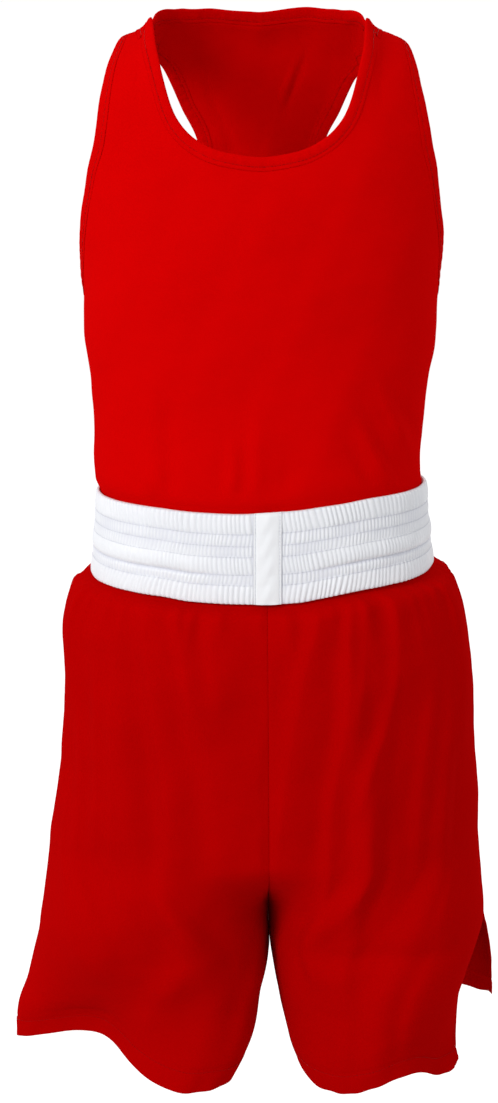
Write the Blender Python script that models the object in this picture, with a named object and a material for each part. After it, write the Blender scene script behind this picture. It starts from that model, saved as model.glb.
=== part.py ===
"""Sleeveless boxing suit as it hangs on a wearer: racerback vest, gathered elastic waistband, loose shorts.

Metres, +Z up. The front faces -Y, so the wearer's left side is at +X and is called left here.
The origin lies on the shoulder line, midway between the straps, where the shoulders carry the suit.
Each cut piece is one closed wall. Its outer face is worked out first and the wall grows inwards from it.
"""

import math

import bmesh
import bpy
import numpy as np

NAME = "boxing_singlet"
SEAM = 0.0003  # between neighbouring pieces
VEST_WALL = 0.0014
SHORTS_WALL = 0.0014
SQUARE = 0.15  # how much fuller than an ellipse a ring of the body is at its corners


def columns(names, *rows):
    """A short table, top row first, as one array for each named column."""
    return dict(zip(names.split(), np.array(rows, float).T))


def curve(xs, ys, at):
    """The smooth curve through the points that never swings past them, read at the places in at."""
    order = np.argsort(xs)
    xs, ys = xs[order], ys[order]
    step = np.diff(ys) / np.diff(xs)
    product = step[:-1] * step[1:]
    inner = np.where(product > 0, 2 * product / (step[:-1] + step[1:] + 1e-12 * (product <= 0)), 0)
    slope = np.concatenate([step[:1], inner, step[-1:]])
    at = np.clip(at, xs[0], xs[-1])
    i = np.clip(np.searchsorted(xs, at, "right") - 1, 0, len(xs) - 2)
    width = xs[i + 1] - xs[i]
    t = (at - xs[i]) / width
    bend = (t**3 - 2 * t**2 + t) * slope[i] + (t**3 - t**2) * slope[i + 1]
    return ys[i] + (3 * t**2 - 2 * t**3) * (ys[i + 1] - ys[i]) + width * bend


def ramp(start, end, at):
    """0 at start, 1 at end and beyond, easing in and out."""
    t = np.clip((at - start) / (end - start), 0, 1)
    return t * t * (3 - 2 * t)


def crest(at, place, half_width):
    """A single soft wave: 1 at its place, 0 from half_width away."""
    return np.cos(np.clip((at - place) / half_width, -1, 1) * math.pi / 2) ** 2


def ring(quarter, left, right, front, back):
    """x and y on a ring of the body. quarter is 0 at the front, +-1 at the sides and +-2 at the back."""
    turn = quarter * math.pi / 2
    across, ahead = np.sin(turn), np.cos(turn)
    x = (left + right) / 2 + (right - left) / 2 * across
    y = -np.where(ahead > 0, front, back) * ahead * (1 + SQUARE * across**2)
    return x, y


def unit(vectors):
    return vectors / np.linalg.norm(vectors, axis=-1, keepdims=True)


# Waistband: gathered elastic, sewn into rows. Levels are at the side seams.
BAND_TOP, BAND_LOW = -0.4240, -0.5005
BAND_WALL = 0.0026  # in a valley between two gathers
BAND_GATHERS = 135
GATHER_RISE = 0.0010
JOINT_WIDTH = 0.0235
JOINT_WALL = 0.0010
JOINT_X = 0.0060
JOINT_CELLS = 6
BAND_INSIDE = columns(
    "level left right front back",
    (BAND_TOP, -0.1490, 0.1515, 0.1012, 0.0830),
    (BAND_LOW, -0.1550, 0.1590, 0.1042, 0.0880),
)
# Down the band: its edges, the rows of stitching (no rise) and the middle of each channel.
BAND_ROWS = columns(
    "down rise gather",
    (0.000, 0.0002, 0.8),
    (0.105, 0.0013, 1.0),
    (0.210, 0.0000, 0.4),
    (0.277, 0.0008, 0.8),
    (0.344, 0.0000, 0.4),
    (0.405, 0.0009, 0.8),
    (0.467, 0.0001, 0.4),
    (0.567, 0.0014, 0.9),
    (0.667, 0.0001, 0.4),
    (0.728, 0.0009, 0.8),
    (0.789, 0.0001, 0.4),
    (0.895, 0.0014, 1.0),
    (1.000, 0.0003, 0.9),
)
# How far a level ring drops towards the front, for each metre ahead of the side seams.
LEAN = columns(
    "level slope",
    (-0.330, 0.0),
    (BAND_TOP, 0.086),
    (BAND_LOW, 0.119),
    (-0.600, 0.0),
)
# How far the waistband's top and low edge ride up across the body. It sits highest on the left.
TILT = columns(
    "across top low",
    (-0.160, 0.0000, 0.0020),
    (-0.115, 0.0000, 0.0036),
    (-0.090, -0.0004, 0.0038),
    (-0.060, -0.0020, 0.0014),
    (-0.020, -0.0027, 0.0008),
    (0.010, -0.0010, 0.0009),
    (0.032, 0.0003, 0.0018),
    (0.052, 0.0026, 0.0046),
    (0.072, 0.0046, 0.0076),
    (0.100, 0.0076, 0.0100),
    (0.125, 0.0080, 0.0106),
    (0.160, 0.0080, 0.0104),
)


def lean(level, x, y):
    """The height of a point of a ring: rings lean forwards and ride up with the waistband they are near."""
    top, low = (curve(TILT["across"], TILT[edge], x) for edge in ("top", "low"))
    down = np.clip((level - BAND_TOP) / (BAND_LOW - BAND_TOP), 0, 1)
    near = ramp(LEAN["level"][0], BAND_TOP, level) * ramp(LEAN["level"][-1], BAND_LOW, level)
    return level + y * curve(LEAN["level"], LEAN["slope"], level) + near * (top + (low - top) * down)


def band_inside(level, inset=0.0):
    """Extents of the band's inner wall at a level, straight from its top edge to its low edge."""
    down = (level - BAND_TOP) / (BAND_LOW - BAND_TOP)
    left, right, front, back = (
        BAND_INSIDE[side][0] + down * (BAND_INSIDE[side][1] - BAND_INSIDE[side][0])
        for side in ("left", "right", "front", "back")
    )
    return left + inset, right - inset, front - inset, back - inset


def band_points(quarter, level, out=0.0):
    x, y = ring(quarter, *band_inside(level, -out))
    return np.stack([x, y, lean(level, x, y)], axis=-1)


# Vest: rings of the outer face. Above DOME_FROM the face closes over the shoulders.
VEST_LOW = -0.469  # lower edge, sewn inside the waistband
TUCK = BAND_TOP + 0.002  # below this the vest follows the inside of the waistband
TUCK_GAP = 0.0005  # from which it stays clear
DOME_FROM, DOME = -0.095, 0.095
SHOULDER_RISE = DOME_FROM + DOME * math.pi / 2
FALL_FROM, FALL_FULL = -0.16, 0.04  # between these the face takes up the fall of the shoulder
TORSO = columns(
    "level left right front back",
    (0.060, -0.172, 0.175, 0.116, 0.100),
    (-0.040, -0.173, 0.176, 0.119, 0.101),
    (-0.110, -0.174, 0.178, 0.122, 0.104),
    (-0.180, -0.168, 0.171, 0.124, 0.106),
    (-0.235, -0.1620, 0.1625, 0.120, 0.104),
    (-0.288, -0.1595, 0.1590, 0.113, 0.098),
    (-0.324, -0.155, 0.1545, 0.109, 0.093),
    (-0.361, -0.1525, 0.1515, 0.106, 0.089),
    (-0.398, -0.1540, 0.1490, 0.1055, 0.087),
    (-0.412, -0.1530, 0.1495, 0.1045, 0.0855),
    (TUCK, *band_inside(TUCK, TUCK_GAP)),
)
# Height of the shoulder top across the body, falling away to the arm.
SHOULDER = columns(
    "across height",
    (0.000, 0.020),
    (0.040, 0.022),
    (0.067, 0.0180),
    (0.076, 0.0140),
    (0.083, 0.0105),
    (0.088, 0.0056),
    (0.092, -0.0004),
    (0.096, -0.0082),
    (0.100, -0.0146),
    (0.106, -0.0176),
    (0.112, -0.0196),
    (0.119, -0.0225),
    (0.126, -0.0275),
    (0.132, -0.0340),
    (0.138, -0.0410),
    (0.180, -0.0820),
)
# Half of the neck opening, from the front centre over the shoulder to the back centre.
NECKLINE = columns(
    "across girth",
    (-0.030, -0.1880),
    (0.000, -0.1920),
    (0.030, -0.1880),
    (0.053, -0.1780),
    (0.070, -0.1590),
    (0.0795, -0.1300),
    (0.0855, -0.1020),
    (0.0890, -0.0750),
    (0.0945, -0.0350),
    (0.097, 0.0000),
    (0.092, 0.0180),
    (0.077, 0.0360),
    (0.050, 0.0460),
    (0.000, 0.0500),
    (-0.050, 0.0460),
)
# One armhole, from under the arm up the front, over the shoulder and down the racerback.
ARMHOLE = columns(
    "quarter girth",
    (1.200, -0.2830),
    (1.000, -0.2892),
    (0.920, -0.2770),
    (0.825, -0.2540),
    (0.755, -0.2342),
    (0.665, -0.1992),
    (0.600, -0.1642),
    (0.560, -0.1045),
    (0.525, -0.0520),
    (0.508, 0.0000),
    (0.455, 0.0350),
    (0.345, 0.0966),
    (0.284, 0.1310),
    (0.228, 0.1580),
    (0.212, 0.1842),
    (0.260, 0.2142),
    (0.394, 0.2442),
    (0.590, 0.2692),
    (0.800, 0.2830),
    (1.000, 0.2892),
    (1.070, 0.2750),
)
ARM_REACH = 0.2  # length of a quarter of the chest ring
NECK_MIDDLE = -0.0012  # the neck opening sits slightly to the right
NECKBAND_WIDTH = 0.0105
ARMBAND_WIDTH = 0.0115
EDGE_SEAM = 0.0004  # between a panel and its edge band
EDGE_RISE = 0.0006  # how far the edge bands stand over the panels, on each side
# Soft folds of the vest front, pushed out along the face, down to where the waistband holds it flat.
FOLDS_FULL = -0.405
VEST_FOLDS = columns(
    "across level half_width half_length slant depth",
    (-0.095, -0.395, 0.016, 0.060, -0.05, 0.0030),
    (-0.020, -0.390, 0.020, 0.070, 0.04, 0.0022),
    (0.118, -0.400, 0.012, 0.045, -0.55, 0.0030),
    (0.135, -0.365, 0.012, 0.040, -0.60, 0.0024),
    (0.055, -0.395, 0.022, 0.055, 0.10, 0.0020),
)


def torso(quarter, girth):
    """A point on the vest. girth runs from the front waist up to the shoulder (0) and down the back."""
    quarter, girth = np.broadcast_arrays(np.asarray(quarter, float), np.asarray(girth, float))
    past = np.abs(quarter) > 1  # round the side seam, on the other face
    quarter, girth = np.where(past, 2 * np.sign(quarter) - quarter, quarter), np.where(past, -girth, girth)
    rise = SHOULDER_RISE - np.abs(girth)
    climb = np.clip((rise - DOME_FROM) / DOME, 0, None)
    level = np.where(climb > 0, DOME_FROM + DOME * np.sin(climb), rise)
    tucked = band_inside(level, TUCK_GAP)
    left, right, front, back = (
        np.where(level < TUCK, tuck, curve(TORSO["level"], TORSO[side], level))
        for side, tuck in zip(("left", "right", "front", "back"), tucked)
    )
    depth = np.where(girth > 0, -back, front) * np.cos(climb)
    x, y = ring(quarter, left, right, depth, depth)
    height = curve(SHOULDER["across"], SHOULDER["height"], np.abs(x - NECK_MIDDLE))
    z = lean(level, x, y) + height * ramp(FALL_FROM, FALL_FULL, rise)
    return np.stack([x, y, z], axis=-1)


def slopes(face, u, v, step=1e-4):
    """How a face moves for each step of its two coordinates, and its outward direction."""
    along_u = (face(u + step, v) - face(u - step, v)) / (2 * step)
    along_v = (face(u, v + step) - face(u, v - step)) / (2 * step)
    return along_u, along_v, unit(np.cross(along_u, along_v))


def path_table(along, girth, scale):
    """A path's two columns and the place of each row: 0..1 up the front, 1..2 down the back.

    The first and last rows only steer the ends of the curve, which lie on the rows next to them.
    """
    length = np.concatenate([[0], np.cumsum(np.hypot(np.diff(along) * scale, np.diff(girth)))])
    length -= length[1]
    shoulder, end = length[np.argmin(np.abs(girth))], length[-2]
    place = np.where(length <= shoulder, length / shoulder, 1 + (length - shoulder) / (end - shoulder))
    return place, along, girth


def neckline(at):
    """Chart point of the neckline at -2..2: front centre 0, shoulders +-1, back centre +-2."""
    half = path_table(NECKLINE["across"], NECKLINE["girth"], 1)
    across, girth = (curve(half[0], column, np.abs(at)) for column in half[1:])
    rise = SHOULDER_RISE - np.abs(girth)
    level = np.where(rise > DOME_FROM, DOME_FROM + DOME * np.sin((rise - DOME_FROM) / DOME), rise)
    left, right = (curve(TORSO["level"], TORSO[edge], level) for edge in ("left", "right"))
    x = NECK_MIDDLE + np.where(at < 0, -1, 1) * across
    return np.arcsin((2 * x - left - right) / (right - left)) * 2 / math.pi, girth


def armhole(side):
    """The path of the armhole on one side, at 0..2: under the arm 0, shoulder 1, under the arm again 2."""
    place, quarter, girth = path_table(ARMHOLE["quarter"], ARMHOLE["girth"], ARM_REACH)
    return lambda at: (side * curve(place, quarter, at), curve(place, girth, at))


def moved_in(path, at, distance, hand):
    """The chart points a distance from a path's edge into the cloth, measured on the face."""
    step = 1e-3
    quarter, girth = path(at)
    before, after = torso(*path(at - step)), torso(*path(at + step))
    along_q, along_g, out = slopes(torso, quarter, girth)
    inward = hand * unit(np.cross(after - before, out)) * distance
    qq, qg, gg = ((a * b).sum(-1) for a, b in ((along_q, along_q), (along_q, along_g), (along_g, along_g)))
    q, g = (along_q * inward).sum(-1), (along_g * inward).sum(-1)
    fall = qq * gg - qg * qg
    return quarter + (gg * q - qg * g) / fall, girth + (qq * g - qg * q) / fall


# Shorts: rings of the outer face from the waistband to the crotch.
SHORTS_TOP = -0.4855  # upper edge, sewn inside the waistband
SHORTS_FROM = -0.504  # under the waistband's low edge, where the cloth is free to swell
SHORTS_FLARE = 0.008  # height in which it does
SHORTS_LOW = -0.978
SLIT_TOP = -0.835
CROTCH = -0.855
SHORTS = columns(
    "level left right front back",
    (-0.5120, -0.1740, 0.1800, 0.1140, 0.0990),
    (-0.5320, -0.1810, 0.1890, 0.1180, 0.1050),
    (-0.5510, -0.1850, 0.1950, 0.1200, 0.1100),
    (-0.5900, -0.1860, 0.2020, 0.1220, 0.1160),
    (-0.6300, -0.1870, 0.2040, 0.1220, 0.1190),
    (-0.6700, -0.1900, 0.2070, 0.1210, 0.1190),
    (-0.7100, -0.1950, 0.2100, 0.1200, 0.1170),
    (-0.7510, -0.2010, 0.2130, 0.1180, 0.1130),
    (-0.7920, -0.2070, 0.2160, 0.1160, 0.1090),
    (SLIT_TOP, -0.2135, 0.2200, 0.1140, 0.1060),
    (CROTCH, -0.2160, 0.2215, 0.1130, 0.1050),
)
SPLIT_X = columns(  # the centre seam
    "level x",
    (BAND_LOW, 0.0060),
    (CROTCH, 0.0090),
)
LEG_FROM = -0.750  # below this the rings turn into two legs, complete at the crotch
CROTCH_Y = 0.010
INSEAM_FROM, INSEAM_TO = 0.4, 0.9  # where, across a panel, the side's squareness changes to the inseam's
LEG_FILL = 0.10  # keeps the seat and front as deep where the rings turn into legs
# The legs press flat against each other under the crotch, and stand out most towards the inseam at the hem.
HANG = columns(
    "level inseam_square front_skew back_skew",
    (LEG_FROM, 0.50, 1.00, 1.00),
    (CROTCH, 0.50, 1.05, 1.02),
    (SHORTS_LOW, 0.40, 1.38, 1.08),
)
# Legs: where the front and back panels' side edges hang, the inseam and how far each panel stands out.
# The wearer's left leg has its side slit open, the right one hangs closed.
LEG = {
    1: columns(
        "level front_x front_y back_x back_y inner_x front back",
        (LEG_FROM, 0.2120, 0.000, 0.2120, 0.000, 0.0083, 0.118, 0.113),
        (-0.7900, 0.2160, 0.000, 0.2160, 0.000, 0.0087, 0.115, 0.109),
        (SLIT_TOP, 0.2200, 0.000, 0.2200, 0.000, 0.0089, 0.113, 0.105),
        (CROTCH, 0.2120, -0.014, 0.2250, 0.012, 0.0090, 0.111, 0.101),
        (-0.8800, 0.1985, -0.034, 0.2320, 0.033, 0.0108, 0.103, 0.091),
        (-0.9120, 0.1905, -0.047, 0.2385, 0.045, 0.0172, 0.096, 0.084),
        (-0.9450, 0.1920, -0.056, 0.2420, 0.060, 0.0227, 0.091, 0.078),
        (SHORTS_LOW, 0.1945, -0.062, 0.2450, 0.072, 0.0345, 0.086, 0.070),
    ),
    -1: columns(
        "level front_x front_y back_x back_y inner_x front back",
        (LEG_FROM, -0.1990, 0.000, -0.1990, 0.000, 0.0083, 0.118, 0.113),
        (-0.7900, -0.2070, 0.000, -0.2070, 0.000, 0.0087, 0.115, 0.109),
        (SLIT_TOP, -0.2135, 0.000, -0.2135, 0.000, 0.0089, 0.113, 0.105),
        (CROTCH, -0.2160, 0.000, -0.2160, 0.0005, 0.0090, 0.111, 0.104),
        (-0.8800, -0.2220, 0.000, -0.2220, 0.001, 0.0104, 0.109, 0.102),
        (-0.9120, -0.2300, -0.001, -0.2300, 0.002, 0.0020, 0.108, 0.100),
        (-0.9450, -0.2395, -0.002, -0.2395, 0.004, -0.0052, 0.109, 0.098),
        (SHORTS_LOW, -0.2420, -0.003, -0.2420, 0.006, -0.0205, 0.111, 0.097),
    ),
}
# Folds of a panel, by side (1 left, -1 right) and face (-1 front, 1 back). across is 0 at the side seam and
# 1 at the centre seam. The ridge runs from its top to its foot, leaning across on the way.
SHORTS_FOLDS = columns(
    "side face top foot across foot_across half_width depth",
    (-1, -1, -0.530, -0.960, 0.50, 0.72, 0.085, 0.0060),
    (-1, -1, -0.560, -0.760, 0.16, 0.20, 0.060, 0.0030),
    (-1, -1, -0.600, -0.870, 0.30, 0.40, 0.060, 0.0035),
    (1, -1, -0.520, -0.900, 0.78, 0.66, 0.070, 0.0055),
    (1, -1, -0.520, -0.920, 0.62, 0.80, 0.075, 0.0065),
    (1, -1, -0.560, -0.860, 0.32, 0.52, 0.075, 0.0045),
    (1, -1, -0.740, -0.990, 0.40, 0.52, 0.080, 0.0050),
    (-1, 1, -0.520, -0.900, 0.66, 0.58, 0.080, 0.0055),
    (-1, 1, -0.560, -0.960, 0.30, 0.40, 0.080, 0.0045),
    (1, 1, -0.520, -0.900, 0.72, 0.62, 0.080, 0.0055),
    (1, 1, -0.580, -0.970, 0.36, 0.30, 0.090, 0.0050),
)
# Waves of the hem: they deepen from their top to the hem, and lift the hem where they turn in.
HEM_WAVES = columns(
    "side face top across half_width depth lift",
    (-1, -1, -0.840, 0.38, 0.32, -0.042, 0.018),
    (-1, -1, -0.900, 0.26, 0.42, 0.000, 0.014),
    (-1, -1, -0.880, 0.82, 0.24, 0.008, 0.000),
    (-1, -1, -0.940, 1.00, 0.16, 0.000, 0.020),
    (-1, 1, -0.940, 1.00, 0.16, 0.000, 0.020),
    (1, -1, -0.880, 0.20, 0.30, -0.016, 0.000),
    (1, -1, -0.880, 0.66, 0.20, 0.004, 0.000),
    (1, -1, -0.900, 0.40, 0.25, 0.000, 0.018),
    (1, -1, -0.900, 0.78, 0.30, 0.000, -0.006),
    (1, 1, -0.900, 0.00, 0.16, 0.000, 0.008),
    (-1, 1, -0.860, 0.45, 0.22, -0.012, 0.002),
    (1, 1, -0.860, 0.55, 0.22, -0.012, 0.002),
)
PANEL_GATHERS = 6  # under the waistband, smoothed away further down
PANEL_GATHER_RISE = 0.0022
GATHERS_FULL, GATHERS_GONE = -0.525, -0.590
SLIT_CORNER = columns("across lift", (0.0, 0.010), (0.04, 0.003), (0.09, 0.0))  # rounded, left front
SLIT_CORNER_FROM = -0.960


def rows_of(table):
    """The rows of a table, each as a dictionary."""
    return [dict(zip(table, row)) for row in zip(*table.values())]


def shorts_panel(side, face):
    """The face of one panel of the shorts, from the side seam (across 0) to the centre seam (1)."""
    leg = LEG[side]
    edge_x, edge_y, stand_out = ("front_x", "front_y", "front") if face < 0 else ("back_x", "back_y", "back")

    def base(across, level):
        across, level = np.broadcast_arrays(np.asarray(across, float), np.asarray(level, float))
        flare = np.clip((SHORTS_FROM - level) / SHORTS_FLARE, 0, 1)[..., None]
        held = np.stack(band_inside(level, SEAM), -1)
        loose = np.stack([curve(SHORTS["level"], SHORTS[name], level) for name in
                          ("left", "right", "front", "back")], -1)
        left, right, front, back = np.moveaxis(held + flare * (loose - held), -1, 0)
        split = curve(SPLIT_X["level"], SPLIT_X["x"], level) + side * SEAM / 2
        middle = np.arcsin((2 * split - left - right) / (right - left)) * 2 / math.pi
        quarter = side + (middle - side) * across
        x, y = ring(quarter if face < 0 else 2 * side - quarter, left, right, front, back)
        body = np.stack([x, y, lean(level, x, y)], -1)

        edge, edge_at, inner, depth = (curve(leg["level"], leg[name], level)
                                       for name in (edge_x, edge_y, "inner_x", stand_out))
        turn = across * math.pi
        shared = (1 - np.cos(turn)) / 2
        inner = inner + side * SEAM / 2
        x = edge + (inner - edge) * shared
        y = edge_at + (CROTCH_Y - edge_at) * shared
        inseam = curve(HANG["level"], HANG["inseam_square"], level)
        square = SQUARE + ramp(INSEAM_FROM, INSEAM_TO, across) * (inseam - SQUARE)
        turn = math.pi * across ** curve(HANG["level"], HANG["front_skew" if face < 0 else "back_skew"], level)
        y = y + face * depth * np.sin(turn) * (1 + square * np.cos(turn) ** 2)
        legs = np.stack([x, y, level], -1)
        turned = ramp(LEG_FROM, CROTCH, level)
        point = body + turned[..., None] * (legs - body)
        point[..., 1] *= 1 + LEG_FILL * 4 * turned * (1 - turned) * np.sin(across * math.pi)
        return point

    def push(across, level):
        """How far the cloth stands out from its base, and how far the hem is lifted."""
        out = PANEL_GATHER_RISE * np.sin(across * math.pi * PANEL_GATHERS) ** 2
        out = out * ramp(SHORTS_FROM, GATHERS_FULL, level) * ramp(GATHERS_GONE, GATHERS_FULL, level)
        for fold in rows_of(SHORTS_FOLDS):
            if (fold["side"], fold["face"]) == (side, face):
                down = (fold["top"] - level) / (fold["top"] - fold["foot"])
                place = fold["across"] + (fold["foot_across"] - fold["across"]) * down
                fade = np.sin(np.clip(down, 0, 1) * math.pi) ** 0.7
                out = out + fold["depth"] * fade * crest(across, place, fold["half_width"])
        lift = 0 * out
        for wave in rows_of(HEM_WAVES):
            if (wave["side"], wave["face"]) == (side, face):
                swell = ramp(wave["top"], SHORTS_LOW, level) * crest(across, wave["across"], wave["half_width"])
                out, lift = out + wave["depth"] * swell, lift + wave["lift"] * swell
        if (side, face) == (1, -1):
            corner = np.interp(across, SLIT_CORNER["across"], SLIT_CORNER["lift"])
            lift = lift + corner * ramp(SLIT_CORNER_FROM, SHORTS_LOW, level)
        return out, lift

    return base, push


# Solids.
VEST_COLUMNS = {"shoulder": 2, "neck": 18, "back_neck": 16}
VEST_ROWS = {"side": 7, "arm": 10, "back_arm": 15}
SHORTS_COLUMNS = 2 * PANEL_GATHERS
SHORTS_LEVELS = np.array([SHORTS_TOP, BAND_LOW, SHORTS_FROM, -0.512, -0.530, -0.558, -0.600, -0.650, -0.700,
                          LEG_FROM, -0.772, -0.793, -0.814, SLIT_TOP, CROTCH, -0.883, -0.914, -0.946, SHORTS_LOW])
CROTCH_ROW = int(np.argmin(np.abs(SHORTS_LEVELS - CROTCH)))
COLOURS = {"red": (0.55, 0.004, 0.006, 1), "white": (0.86, 0.87, 0.89, 1)}


def add(mesh_maker, name, colour, *parts):
    """Makes one named object with its own material from mesh_maker's closed body."""
    work = bmesh.new()
    mesh_maker(work, *parts)
    bmesh.ops.recalc_face_normals(work, faces=work.faces)
    bmesh.ops.triangulate(work, faces=work.faces, quad_method="SHORT_EDGE")
    mesh = bpy.data.meshes.new(name)
    work.to_mesh(mesh)
    work.free()
    material = bpy.data.materials.new(name)
    material.use_nodes = True
    shader = material.node_tree.nodes["Principled BSDF"]
    shader.inputs["Base Color"].default_value = COLOURS[colour]
    shader.inputs["Roughness"].default_value = 0.7
    mesh.materials.append(material)
    part = bpy.data.objects.new(name, mesh)
    bpy.data.collections[NAME].objects.link(part)


def grid_cells(work, across, down):
    """A flat grid, with a way to read the column and row of each of its points."""
    bmesh.ops.create_grid(work, x_segments=across, y_segments=down, size=1)
    return lambda point: (round((point.co.x + 1) / 2 * across), round((point.co.y + 1) / 2 * down))


def wall(work, outer, inner):
    """A sheet with two faces and a rim, from the rows of points of its outer and inner face."""
    across, down = outer.shape[0] - 1, outer.shape[1] - 1
    cell = grid_cells(work, across, down)
    places = {point: cell(point) for point in work.verts}
    raised = bmesh.ops.extrude_face_region(work, geom=list(work.faces))["geom"]
    for point in [item for item in raised if isinstance(item, bmesh.types.BMVert)]:
        point.co = inner[cell(point)]
    for point, place in places.items():
        point.co = outer[place]


def hoop(work, sections):
    """A closed tube through closed sections, the first index going round the hoop."""
    around, corners = sections.shape[:2]
    cell = grid_cells(work, around, corners)
    for point in work.verts:
        column, row = cell(point)
        point.co = sections[column % around, row % corners]
    bmesh.ops.remove_doubles(work, verts=work.verts, dist=1e-6)


def parted(outer, inner, edge, towards, cells=slice(None)):
    """Draws an edge of a wall back by half a seam, towards the next row of points."""
    step = unit(outer[towards][cells] - outer[edge][cells]) * SEAM / 2
    outer[edge][cells] += step
    inner[edge][cells] += step


def relaxed(chart, rounds=300):
    """Evens out a grid of chart points with its edges held, so that none of its cells folds over."""
    chart = chart * (ARM_REACH, 1)
    for _ in range(rounds):
        across, up = chart[2:, 1:-1] - chart[:-2, 1:-1], chart[1:-1, 2:] - chart[1:-1, :-2]
        wide, tall, slanted = (across**2).sum(-1), (up**2).sum(-1), (across * up).sum(-1) / 2
        twist = chart[2:, 2:] - chart[2:, :-2] - chart[:-2, 2:] + chart[:-2, :-2]
        beside, over = chart[2:, 1:-1] + chart[:-2, 1:-1], chart[1:-1, 2:] + chart[1:-1, :-2]
        even = (tall[..., None] * beside + wide[..., None] * over - slanted[..., None] * twist)
        chart[1:-1, 1:-1] = even / (2 * (wide + tall))[..., None]
    return chart / (ARM_REACH, 1)


def vest_panel(face):
    """Outer and inner face of the vest's front (-1) or back (1), first index across, second up."""
    neck_cells = VEST_COLUMNS["neck" if face < 0 else "back_neck"]
    arm_cells = VEST_ROWS["arm" if face < 0 else "back_arm"]
    edge = ARMBAND_WIDTH + EDGE_SEAM
    along_arm = np.linspace(0, 1, arm_cells + 1) if face < 0 else np.linspace(2, 1, arm_cells + 1)
    low, tuck = face * (SHOULDER_RISE - VEST_LOW), face * (SHOULDER_RISE - TUCK)
    edges = []
    for side in (-1, 1):
        arm = np.stack(moved_in(armhole(side), along_arm, edge, -side), -1)
        arm[0, 0] = side
        seam = np.linspace((side, tuck), arm[0], VEST_ROWS["side"])
        edges.append(np.concatenate([seam[:-1], arm]))

    along_neck = np.linspace(-1, 1, neck_cells + 1) if face < 0 else np.linspace(1, 3, neck_cells + 1)
    along_neck = np.where(along_neck > 2, along_neck - 4, along_neck)
    neck = np.stack(moved_in(neckline, along_neck, NECKBAND_WIDTH + EDGE_SEAM, 1), -1)
    neck = neck if face < 0 else neck[::-1]
    right_top = np.linspace(edges[0][-1], neck[0], VEST_COLUMNS["shoulder"] + 1)
    left_top = np.linspace(neck[-1], edges[1][-1], VEST_COLUMNS["shoulder"] + 1)
    top = np.concatenate([right_top[:-1], neck, left_top[1:]])

    u = np.linspace(0, 1, len(top))[:, None, None]
    v = np.linspace(0, 1, len(edges[0]))[None, :, None]
    foot = np.stack([np.linspace(-1, 1, len(top)), np.full(len(top), tuck)], -1)
    corners = (1 - u) * ((1 - v) * foot[0] + v * top[0]) + u * ((1 - v) * foot[-1] + v * top[-1])
    chart = (1 - v) * foot[:, None] + v * top[:, None] + (1 - u) * edges[0] + u * edges[1] - corners
    chart = np.concatenate([(foot - (0, tuck - low))[:, None], relaxed(chart)], 1)
    quarter, girth = chart[..., 0], chart[..., 1]
    outer, inner = vest_wall(quarter, girth, 0, -VEST_WALL)
    seams = slice(0, VEST_ROWS["side"] + 1)
    for seam_edge, towards in ((0, 1), (-1, -2)):
        parted(outer, inner, seam_edge, towards, seams)
    flip = (outer.swapaxes(0, 1), inner.swapaxes(0, 1))
    for cells in (slice(0, VEST_COLUMNS["shoulder"] + 1), slice(-VEST_COLUMNS["shoulder"] - 1, None)):
        parted(*flip, -1, -2, cells)
    return outer, inner


def vest_wall(quarter, girth, *offsets):
    """Points on the vest at each chart point, moved out by each offset, with the soft folds."""
    base = torso(quarter, girth)
    out = slopes(torso, quarter, girth)[2]
    push = 0 * girth
    for fold in rows_of(VEST_FOLDS):
        down = base[..., 2] - fold["level"]
        away = (base[..., 0] - fold["across"] - fold["slant"] * down) / fold["half_width"]
        push = push + np.where(girth < 0, fold["depth"], 0) * np.exp(-away**2 - (down / fold["half_length"]) ** 2)
    push = (push * ramp(BAND_TOP, FOLDS_FULL, base[..., 2]))[..., None]
    return [base + (push + offset) * out for offset in offsets]


def edge_band(path, at, width, hand):
    """Closed sections of a band along a path: its outer face, standing proud, then its inner face."""
    edge = path(at)
    middle, seam = moved_in(path, at, width / 2, hand), moved_in(path, at, width, hand)
    low, high = -VEST_WALL - EDGE_RISE, EDGE_RISE
    ring_points = [vest_wall(*chart, offset)[0] for chart, offset in (
        (edge, high - EDGE_RISE / 2), (middle, high + EDGE_RISE / 3), (seam, high), (seam, low), (edge, low))]
    return np.stack(ring_points, 1)


def waistband():
    """Closed sections of the waistband and the outer points that its joint strip lies on."""
    fine = np.linspace(-2, 2, 4001)
    rim = band_points(fine, (BAND_TOP + BAND_LOW) / 2)
    length = np.concatenate([[0], np.cumsum(np.linalg.norm(np.diff(rim, axis=0), axis=1))])
    start = np.interp(JOINT_X - JOINT_WIDTH / 2, rim[1000:3000, 0], length[1000:3000])
    flat = np.linspace(0, JOINT_WIDTH, JOINT_CELLS + 1)
    rest = np.linspace(JOINT_WIDTH, length[-1], 2 * BAND_GATHERS + 1)[1:-1]
    quarter = np.interp((start + np.concatenate([flat, rest])) % length[-1], length, fine)
    gathered = np.concatenate([np.zeros(JOINT_CELLS + 1), np.arange(1, 2 * BAND_GATHERS) % 2])
    levels = BAND_TOP + BAND_ROWS["down"] * (BAND_LOW - BAND_TOP)
    rise = BAND_WALL + BAND_ROWS["rise"] + GATHER_RISE * BAND_ROWS["gather"] * gathered[:, None]
    outer = np.stack([band_points(quarter, level, rise[:, i]) for i, level in enumerate(levels)], 1)
    inner = np.stack([band_points(quarter, level) for level in (BAND_LOW, BAND_TOP)], 1)
    return np.concatenate([outer, inner], 1), outer[:JOINT_CELLS + 1]


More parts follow.
